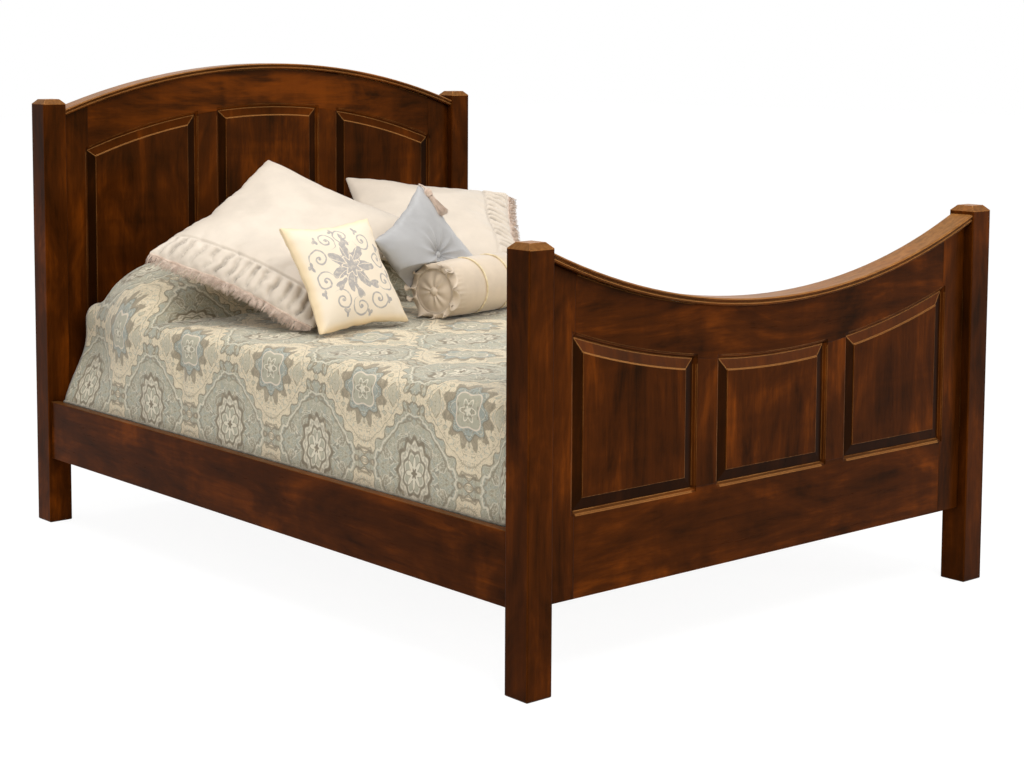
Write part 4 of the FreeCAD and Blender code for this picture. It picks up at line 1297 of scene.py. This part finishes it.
class BED_OT_shams(bpy.types.Operator):
    """Adds the two satin shams with their gathered bands and brush fringe"""

    bl_idname = "bed.shams"
    bl_label = "Shams"

    crown = 0.066
    draw_in = 0.012
    fringed_side = 0.540
    shams = {
        "left": ((0.42, -0.84, -0.34), (0.88, 0.29, 0.39), 0.600, -1),
        "right": ((-0.514, -0.775, -0.37), (0.852, -0.51, -0.115), 0.535, 1),
    }

    def execute(self, context):
        settings = context.scene.bed_cushions
        cloth = context.scene.bed_cloth
        satin_cloth = satin("sham satin", cloth.sham, 0.05)
        yarn = fibre_cloth("fringe yarn", cloth.fringe, colour(186, 160, 140))
        for name, (fringe_way, length_way, length, fringed_end) in self.shams.items():
            low, high = corners_of("sham_" + name)
            case = stuffed_case(
                "sham_" + name + "_cushion", length, self.fringed_side, self.crown, self.draw_in, settings
            )
            subdivide_smooth(case)
            seam_x = fringed_end * length / 2
            band = settings.ruche_width

            def detail(place):
                from_seam = abs(place[0] - seam_x)
                inside = smooth_step(from_seam, band, band * 0.86) * smooth_step(from_seam, 0.0, 0.012)
                pleat = 0.0145 * gathered(place, 2.0 + fringed_end) * inside
                seam = -0.0042 * bell(from_seam - band, 0.0035)
                spill = smooth_step(from_seam, band * 1.9, band) * (1 - inside)
                spill = 0.0030 * spill * gathered((place[0], place[1] * 0.6, 0), 6.0)
                rim = smooth_step(self.fringed_side / 2 - abs(place[1]), 0.06, 0.0)
                pucker = 0.0026 * rim * ripple((place[0] * 1.6, place[1] * 0.4, 0), 32.0, 3.0)
                return pleat + seam + spill + pucker + unevenness(place, 0.0035, 8.0, 5.0 + fringed_end)

            push_out(case, detail)
            matrix = pose_matrix((low + high) / 2, length_way, -Vector(fringe_way))
            pose(case, matrix)
            drape_on_cover(case)
            shade_smooth(case)
            seam = seam_points(case, seam_x, self.fringed_side)
            outward = (matrix.to_3x3() @ Vector((fringed_end, 0, 0))).normalized()
            fringe = brush_fringe("sham_" + name + "_fringe", seam, outward, settings.fringe_length, 11)
            lift_over_cover(fringe, 0.002)
            braid = tube("sham_" + name + "_braid", seam, 0.0042)
            hand_over(case, "sham_satin", satin_cloth, "sham_" + name)
            hand_over(fringe, "sham_satin", yarn)
            hand_over(braid, "sham_satin", yarn)
        return {"FINISHED"}


def over_cover(piece, height_over):
    """Moves a piece's vertices over the comforter to the height that a function of height and level gives."""
    cover = Cover(bpy.context.scene.bed_cover)

    def moved(x, y, z):
        if abs(x) < cover.half_width and y < 1.0:
            z = height_over(z, cover.top(x, y))
        return x, y, z

    move_points(piece, moved)


def drape_on_cover(piece):
    """Lifts what would sink into the comforter."""
    over_cover(piece, lambda height, top: soft_floor(height, top + 0.008, 0.010))


def lift_over_cover(piece, clearance):
    over_cover(piece, lambda height, top: max(height, top + 0.006 + clearance))


class BED_OT_sleeping_pillows(bpy.types.Operator):
    """Adds the two sleeping pillows under the comforter"""

    bl_idname = "bed.sleeping_pillows"
    bl_label = "Sleeping pillows"

    def execute(self, context):
        settings = context.scene.bed_cushions
        cotton = satin("pillow cotton", context.scene.bed_cloth.ticking, 0.04, 0.05, 0.65, 0.0005)
        for side in ("left", "right"):
            node = "sleeping_pillow_" + side
            low, high = corners_of(node)
            size = high - low
            case = stuffed_case(
                node + "_case", size.x * 0.86, size.y * 0.84, size.z * 0.42, 0.02, settings, 0.018, 1.0
            )
            centre = (low + high) / 2
            pose(case, Matrix.Translation((centre.x * 0.90, centre.y - 0.01, low.z + size.z * 0.43)))
            subdivide_smooth(case)
            cover = Cover(context.scene.bed_cover)

            def between(x, y, z):
                ceiling = cover.top(x * 1.03, y) - 0.026
                return x, y, max(min(z, ceiling), MATTRESS_HIGH.z + 0.001)

            move_points(case, between)
            shade_smooth(case)
            hand_over(case, "pillow_cloth", cotton, node)
        return {"FINISHED"}


class BED_OT_accent_pillow(bpy.types.Operator):
    """Adds the small printed pillow in front"""

    bl_idname = "bed.accent_pillow"
    bl_label = "Printed pillow"

    size: length_property("Size", "Side of the pillow", 0.320)
    crown: length_property("Crown", "Half of its thickness", 0.046)
    centre = (-0.412, 0.099, 0.797)
    width_way = (0.995, 0.07, 0.03)
    height_way = (-0.05, 0.50, 0.86)

    def execute(self, context):
        settings = context.scene.bed_cushions
        case = stuffed_case(
            "accent_pillow_case", self.size, self.size, self.crown, 0.010, settings, 0.0065, 1.09
        )
        subdivide_smooth(case)

        def detail(place):
            puckers = square_puckers(place, self.size, 0.0024, 44.0, 6.0)
            return puckers + unevenness(place, 0.0020, 12.0, 2.0)

        push_out(case, detail)
        pose(case, pose_matrix(self.centre, self.width_way, self.height_way))
        rest_on_bed(case, BED_TOP + 0.004)
        shade_smooth(case)
        printed = printed_accent("damask print", context.scene.bed_cloth)
        hand_over(case, "accent_cloth", printed, "accent_pillow")
        return {"FINISHED"}


BOLSTER_WAY = Vector((0.976, 0.218, 0.0)).normalized()
BOLSTER_RADIUS = 0.074
BOLSTER_FULLNESS = 0.011
BOLSTER_LENGTH = 0.406
BOLSTER_CENTRE = sum(corners_of("bolster"), Vector()) / 2


def clear_of_bolster(piece, gap):
    """Moves what would stand in or before the neck roll behind it, and aside so that it stays hidden."""
    rear = UP.cross(BOLSTER_WAY)
    away = rear + BOLSTER_WAY * 1.2
    reach = BOLSTER_RADIUS + BOLSTER_FULLNESS + gap

    def moved(*place):
        from_centre = Vector(place) - BOLSTER_CENTRE
        if from_centre.z > reach:
            return place
        wall = math.sqrt(max(reach**2 - max(from_centre.z, 0.0) ** 2, 0.0))
        behind = from_centre.dot(rear)
        if behind >= wall:
            return place
        run = abs(from_centre.dot(BOLSTER_WAY))
        share = smooth_step(run, BOLSTER_LENGTH / 2 + 0.24, BOLSTER_LENGTH / 2 + 0.12)
        return tuple(np.array(place) + np.array(away) * ((wall - behind) * share))

    move_points(piece, moved)


class BED_OT_tufted_pillow(bpy.types.Operator):
    """Adds the tufted satin pillow with its buttons and tassel"""

    bl_idname = "bed.tufted_pillow"
    bl_label = "Tufted pillow"

    size: length_property("Size", "Side of the pillow", 0.330)
    crown: length_property("Crown", "Half of its thickness", 0.052)
    level_diagonal = (0.95, 0.12, -0.284)
    falling_diagonal = (-0.2, -0.453, -0.868)
    tuft_depth = 0.030
    widening = 0.16

    def execute(self, context):
        settings = context.scene.bed_cushions
        cloth = context.scene.bed_cloth
        case = stuffed_case(
            "tufted_pillow_case", self.size, self.size, self.crown, 0.012, settings, 0.0065, 1.09
        )
        subdivide_smooth(case)

        def detail(place):
            radius = math.hypot(place[0], place[1])
            angle = math.atan2(place[1], place[0])
            tuft = -self.tuft_depth * math.exp(-radius / 0.030)
            reach = smooth_step(radius, 0.150, 0.012) * smooth_step(radius, 0.0, 0.012)
            turn = 11 * angle + 1.4 * ripple((place[0], place[1], 0), 14.0, 5.0)
            pleat = 0.0042 * reach * (1 - abs(math.sin(turn / 2)) * 1.6)
            puckers = square_puckers(place, self.size, 0.0022, 46.0, 8.0)
            return tuft + pleat + puckers + unevenness(place, 0.0020, 14.0, 3.0)

        push_out(case, detail)
        move_points(case, self.spread)
        low, high = corners_of("tuft_buttons")
        centre = (low + high) / 2 - Vector((0.010, 0.001, 0.0))
        first = Vector(self.level_diagonal) + Vector(self.falling_diagonal)
        second = Vector(self.level_diagonal) - Vector(self.falling_diagonal)
        matrix = pose_matrix(centre, first, second)
        pose(case, matrix)
        rest_on_bed(case, BED_TOP + 0.004)
        clear_of_bolster(case, 0.003)
        shade_smooth(case)
        blue = satin("tufted satin", cloth.tufted, 0.06, 0.35, 0.36)
        hand_over(case, "tufted_satin", blue, "tufted_pillow")

        buttons = []
        for side in (-1, 1):
            button = covered_button("tuft_button", 0.013, 0.010)
            seat = self.crown - self.tuft_depth * 0.86
            turn = Matrix.Rotation(0 if side > 0 else math.pi, 4, "X")
            pose(button, matrix @ turn @ Matrix.Translation((0, 0, seat)))
            buttons.append(button)
        hand_over(joined("tuft_buttons_covered", buttons), "tufted_satin", blue, "tuft_buttons")

        # The falling diagonal starts at the corner with the least x and the most y of the case.
        top = matrix @ Vector((-self.size / 2, self.size / 2, 0))
        yarn = fibre_cloth("tassel yarn", cloth.fringe, colour(196, 170, 150))
        hand_over(tassel("corner_tassel", top, matrix.to_3x3() @ UP), "tufted_satin", yarn)
        return {"FINISHED"}

    def spread(self, x, y, z):
        """Widens the pillow's right half, and squashes its foot up and aside behind the neck roll."""
        wider = max(x + y, 0) / 2 * self.widening
        x, y = x + wider, y + wider
        foot = max((x - y) / 2 - 0.085, 0)
        return x - foot * 0.10, y + foot, z


def covered_button(name, radius, height):
    """A domed button of cloth with a rolled edge, on the XY plane."""
    clear_selection()
    bpy.ops.mesh.primitive_uv_sphere_add(segments=28, ring_count=14, radius=radius)
    button = named(name)

    def domed(x, y, z):
        share = min(math.hypot(x, y) / radius, 1.0)
        return x, y, height * (1 - share**2.6) if z > 0 else -height * 0.25 * (1 - share**4)

    move_points(button, domed)
    shade_smooth(button)
    return button


def tassel(name, corner, outward):
    """A tassel on a short cord: a bound head and a skirt of yarn that hangs over the pillow's face."""
    chance = random.Random(5)
    hang = (Vector((0.30, -0.40, -0.86)) + outward * 0.10).normalized()
    start = corner + outward * 0.008 + Vector((-0.006, -0.014, -0.004))
    head = start + hang * 0.022
    pieces = [tube(name + "_cord", [corner, start + hang * 0.004, head], 0.0022)]
    clear_selection()
    bpy.ops.mesh.primitive_uv_sphere_add(segments=20, ring_count=12, radius=0.0120)
    knob = named(name + "_head")
    sized(knob, (1, 1, 1.15))
    for vertex in knob.data.vertices:
        angle = math.atan2(vertex.co.y, vertex.co.x)
        vertex.co *= 1 + 0.05 * math.cos(10 * angle)
    pose(knob, Matrix.Translation(head + hang * 0.006))
    pieces.append(knob)
    side = hang.orthogonal().normalized()
    other = hang.cross(side)
    neck = head + hang * 0.015
    ring = []
    for step in range(16):
        angle = 2 * math.pi * step / 16
        ring.append(neck + side * (0.0090 * math.cos(angle)) + other * (0.0090 * math.sin(angle)))
    pieces.append(tube(name + "_binding", ring, 0.0022, closed=True))
    strands = []
    for _ in range(220):
        angle = chance.uniform(0, 2 * math.pi)
        spread = math.sqrt(chance.random())
        way = side * math.cos(angle) + other * math.sin(angle)
        length = chance.uniform(0.062, 0.072)
        path = []
        for step in range(6):
            share = step / 5
            width = 0.0075 * spread + 0.015 * spread * share**1.4
            path.append(neck + way * width + hang * (length * share))
        strands.append(path)
    pieces.append(strand_mesh(name + "_skirt", strands, 0.0008))
    return joined(name, pieces)


def spun(name, profile, steps):
    """A closed form turned about the X axis. The profile of (x, radius) points starts and ends on it."""
    clear_selection()
    bpy.ops.mesh.primitive_plane_add(size=1)
    piece = named(name)
    bpy.ops.object.mode_set(mode="EDIT")
    bpy.ops.mesh.select_all(action="SELECT")
    bpy.ops.mesh.delete(type="VERT")
    bpy.ops.object.mode_set(mode="OBJECT")
    piece.data.vertices.add(len(profile))
    for vertex, (x, radius) in zip(piece.data.vertices, profile):
        vertex.co = (x, 0, radius)
    piece.data.edges.add(len(profile) - 1)
    for index, edge in enumerate(piece.data.edges):
        edge.vertices = (index, index + 1)
    piece.data.update()
    bpy.ops.object.mode_set(mode="EDIT")
    bpy.ops.mesh.select_all(action="SELECT")
    bpy.ops.mesh.spin(steps=steps, angle=2 * math.pi, center=(0, 0, 0), axis=(1, 0, 0))
    bpy.ops.object.mode_set(mode="OBJECT")
    face_outward(piece, merge=0.00002)
    return piece


class BED_OT_bolster(bpy.types.Operator):
    """Adds the neck roll with its ruffled ends, buttons and piping"""

    bl_idname = "bed.bolster"
    bl_label = "Neck roll"

    disc_radius = 0.060
    band_place = 0.058
    end_depth = 0.009

    def radius_at(self, x):
        """The roll's radius: full between the bands, a little drawn in at each, softer at the ends."""
        half = BOLSTER_LENGTH / 2
        share = abs(x) / half
        radius = BOLSTER_RADIUS + BOLSTER_FULLNESS * (1 - share**4)
        for place in (-self.band_place, self.band_place):
            radius -= 0.0026 * bell(x - place, 0.012)
        radius -= 0.006 * smooth_step(abs(x), half - 0.022, half - 0.002)
        return radius

    def execute(self, context):
        cloth = context.scene.bed_cloth
        half = BOLSTER_LENGTH / 2
        roll = spun("bolster_roll", self.profile(half), 120)
        move_points(roll, self.gathered_end)
        shade_smooth(roll)
        lift = Vector((0, 0, BOLSTER_FULLNESS * 0.7)) - BOLSTER_WAY * 0.014
        matrix = pose_matrix(BOLSTER_CENTRE + lift, BOLSTER_WAY, UP.cross(BOLSTER_WAY))
        pose(roll, matrix)
        rest_on_bed(roll, BED_TOP + 0.004)
        beige = satin("bolster satin", cloth.bolster, 0.07, 0.3, 0.34, crease_shade_strength=0.40)
        hand_over(roll, "bolster_satin", beige, "bolster")

        cord = fibre_cloth("piping cord", cloth.piping, colour(206, 184, 142))
        bands = []
        for place in (-self.band_place, self.band_place):
            radius = self.radius_at(place) + 0.0012
            turns = [2 * math.pi * step / 72 for step in range(72)]
            ring = [(place, radius * math.cos(turn), radius * math.sin(turn)) for turn in turns]
            bands.append(tube("band", ring, 0.0030, closed=True))
        piping = joined("bolster_piping", bands)
        pose(piping, matrix)
        rest_on_bed(piping, BED_TOP + 0.005)
        hand_over(piping, "bolster_satin", cord)

        buttons, ruffles = [], []
        for side in (-1, 1):
            button = covered_button("end_button", 0.0160, 0.011)
            seat = Matrix.Translation((side * (half - self.end_depth + 0.001), 0, 0))
            pose(button, seat @ Matrix.Rotation(side * math.pi / 2, 4, "Y"))
            buttons.append(button)
            ruffles.append(self.ruffle(side, half))
        buttons = joined("bolster_buttons_covered", buttons)
        pose(buttons, matrix)
        hand_over(buttons, "bolster_satin", beige, "bolster_buttons")
        frill = joined("bolster_ruffles", ruffles)
        pose(frill, matrix)
        rest_on_bed(frill, BED_TOP + 0.004)
        folded_satin = satin("ruffle satin", cloth.bolster, 0.1, 0.3, 0.38, crease_shade_strength=0.75)
        hand_over(frill, "bolster_satin", folded_satin)
        return {"FINISHED"}

    def profile(self, half):
        """The roll's outline from the middle of one end disc to the other, as (x, radius)."""
        rings, disc_steps = 90, 12
        disc = [(-half + self.end_depth * 1.3, 0.0)]
        for step in range(1, disc_steps + 1):
            share = step / disc_steps
            dish = self.end_depth * (1 - 0.75 * math.sin(math.pi * share**0.8))
            disc.append((-half + dish, self.disc_radius * share))
        side = []
        for step in range(rings + 1):
            x = -half + 0.004 + (BOLSTER_LENGTH - 0.008) * step / rings
            side.append((x, self.radius_at(x) - 0.001))
        return disc + side + [(-x, radius) for x, radius in reversed(disc)]

    def gathered_end(self, x, y, z):
        """Pleats round the roll's ends, a seam along it, and folds that run to the middle of each disc."""
        radius = math.hypot(y, z)
        if radius < 0.001:
            return x, y, z
        angle = math.atan2(z, y)
        if radius <= self.disc_radius + 0.002:
            fold = 0.0016 * math.sin(math.pi * radius / self.disc_radius)
            return x + fold * math.cos(9 * angle + 1.1 * math.sin(3 * angle)), y, z
        half = BOLSTER_LENGTH / 2
        near_end = smooth_step(abs(x), half - 0.060, half - 0.008)
        change = 0.0012 * ripple((x, angle * BOLSTER_RADIUS, 0), 16.0, 4.0)
        change += 0.0020 * near_end * math.sin(34 * angle + 2 * ripple((x * 30, angle * 3, 0), 1.0))
        change -= 0.0016 * bell(angle - 1.25, 0.03)
        return x, y * (1 + change / radius), z * (1 + change / radius)

    def ruffle(self, side, half):
        """A gathered frill of doubled cloth that stands round an end disc."""
        columns, rows, pleats = 300, 7, 11

        def pleated(u, v, _):
            angle = 2 * math.pi * (u + 0.5)
            share = v + 0.5
            turn = pleats * angle + 1.1 * math.sin(3 * angle) + 0.8 * math.sin(5 * angle + 1)
            uneven = 1 + 0.30 * math.sin(2 * angle + 0.6) * math.cos(4 * angle)
            height = (0.021 * math.sin(share * math.pi / 2) + 0.003 * math.cos(turn) * share) * uneven
            radius = self.disc_radius + 0.003 + height
            out = share * (0.006 + 0.016 * math.sin(turn) * uneven)
            lean = angle + 0.20 * share * math.cos(turn)
            return side * (half - 0.004 + out), radius * math.cos(lean), radius * math.sin(lean)

        clear_selection()
        bpy.ops.mesh.primitive_grid_add(x_subdivisions=columns, y_subdivisions=rows, size=1)
        frill = named("ruffle")
        move_points(frill, pleated)
        face_outward(frill, merge=0.00005)
        apply_modifier(frill, "SOLIDIFY", thickness=0.0014, offset=0.0)
        shade_smooth(frill)
        return frill


# ---- stage -------------------------------------------------------------------------------------------------


class BED_OT_stage(bpy.types.Operator):
    """Adds the floor, the lamps, the world and the camera"""

    bl_idname = "bed.stage"
    bl_label = "Stage"

    image_width, image_height = 1024, 768
    optical_centre = (400.0, 230.0)
    focal_length_px = 1996.1
    camera_place = (-3.6677, -4.2004, 1.4290)
    camera_yaw = 38.741
    camera_pitch = 5.383

    def lamp(self, name, place, target, size, power):
        clear_selection()
        bpy.ops.object.light_add(type="AREA", location=place)
        lamp = bpy.context.object
        lamp.name = name
        lamp.data.shape = "RECTANGLE"
        lamp.data.size, lamp.data.size_y = size
        lamp.data.energy = power
        lamp.rotation_euler = (Vector(target) - Vector(place)).to_track_quat("-Z", "Y").to_euler()

    def execute(self, context):
        scene = context.scene
        scene.view_settings.view_transform = "Standard"
        world = bpy.data.worlds.new("studio")
        scene.world = world
        world.use_nodes = True
        nodes, links = world.node_tree.nodes, world.node_tree.links
        background = nodes["Background"]
        background.inputs["Color"].default_value = (1, 1, 1, 1)
        rays = nodes.new("ShaderNodeLightPath")
        seen = rays.outputs["Is Camera Ray"]
        for kind in ("Is Transmission Ray", "Is Glossy Ray"):
            either = nodes.new("ShaderNodeMath")
            either.operation = "MAXIMUM"
            links.new(seen, either.inputs[0])
            links.new(rays.outputs[kind], either.inputs[1])
            seen = either.outputs[0]
        strength = nodes.new("ShaderNodeMapRange")
        strength.inputs["To Min"].default_value = 0.55
        strength.inputs["To Max"].default_value = 1.0
        links.new(seen, strength.inputs["Value"])
        links.new(strength.outputs["Result"], background.inputs["Strength"])

        clear_selection()
        bpy.ops.mesh.primitive_plane_add(size=60)
        floor = named("studio_floor")
        shade = Shade("studio floor", {"Specular IOR Level": 0.0})
        shade.finish(colour(238, 238, 238), 0.9)
        path = shade.add("LightPath")
        glow = shade.add("Emission", {"Color": (1, 1, 1, 1), "Strength": 1.14})
        blend = shade.add("MixShader")
        seen = Field(shade, path.outputs["Is Camera Ray"]).join("MAXIMUM", path.outputs["Is Glossy Ray"])
        shade.put(blend.inputs[0], seen * 0.80)
        shade.put(blend.inputs[1], shade.shader.outputs[0])
        shade.put(blend.inputs[2], glow.outputs[0])
        shade.put(shade.tree.nodes["Material Output"].inputs[0], blend.outputs[0])
        floor.data.materials.append(shade.material)

        middle = (0, 0, 0.6)
        self.lamp("key_lamp", (-1.8, -4.0, 4.8), middle, (2.0, 1.6), 135)
        self.lamp("front_lamp", (-0.8, -6.0, 2.6), middle, (2.4, 1.8), 42)
        self.lamp("side_lamp", (-4.8, -0.5, 3.0), middle, (2.0, 1.6), 26)
        self.lamp("glow_lamp", (4.2, -5.4, 1.6), middle, (1.4, 1.2), 60)
        self.lamp("top_lamp", (0.0, 0.6, 4.8), middle, (2.6, 2.6), 92)

        clear_selection()
        bpy.ops.object.camera_add(location=self.camera_place)
        camera = bpy.context.object
        camera.rotation_euler = (math.radians(90 - self.camera_pitch), 0, math.radians(-self.camera_yaw))
        camera.data.sensor_width = 36.0
        camera.data.lens = self.focal_length_px * camera.data.sensor_width / self.image_width
        camera.data.shift_x = (self.image_width / 2 - self.optical_centre[0]) / self.image_width
        camera.data.shift_y = -(self.image_height / 2 - self.optical_centre[1]) / self.image_width
        camera.data.dof.use_dof = False
        scene.camera = camera
        return {"FINISHED"}


# ---- panel and registration --------------------------------------------------------------------------------

OPERATORS = (
    BED_OT_finish_frame,
    BED_OT_screws,
    BED_OT_mattress_set,
    BED_OT_comforter,
    BED_OT_sleeping_pillows,
    BED_OT_shams,
    BED_OT_accent_pillow,
    BED_OT_tufted_pillow,
    BED_OT_bolster,
    BED_OT_stage,
)
SETTINGS = {
    "bed_wood": BedWoodSettings,
    "bed_cloth": BedClothSettings,
    "bed_cushions": BedCushionSettings,
    "bed_cover": BedCoverSettings,
}


class BED_PT_pieces(bpy.types.Panel):
    """Lists the bed's settings and pieces"""

    bl_idname = "BED_PT_pieces"
    bl_label = "Panel bed"
    bl_space_type = "VIEW_3D"
    bl_region_type = "UI"
    bl_category = "Bed"

    def draw(self, context):
        for group_name in SETTINGS:
            group = getattr(context.scene, group_name)
            box = self.layout.box()
            for key in group.__annotations__:
                box.prop(group, key)
        for operator in OPERATORS:
            self.layout.operator(operator.bl_idname)


def register():
    for group_name, group in SETTINGS.items():
        bpy.utils.register_class(group)
        setattr(bpy.types.Scene, group_name, bpy.props.PointerProperty(type=group))
    for operator in OPERATORS:
        bpy.utils.register_class(operator)
    bpy.utils.register_class(BED_PT_pieces)


def unregister():
    bpy.utils.unregister_class(BED_PT_pieces)
    for operator in reversed(OPERATORS):
        bpy.utils.unregister_class(operator)
    for group_name, group in SETTINGS.items():
        delattr(bpy.types.Scene, group_name)
        bpy.utils.unregister_class(group)


def main():
    register()
    for operator in OPERATORS:
        group, action = operator.bl_idname.split(".")
        getattr(getattr(bpy.ops, group), action)()


if __name__ == "__main__":
    main()
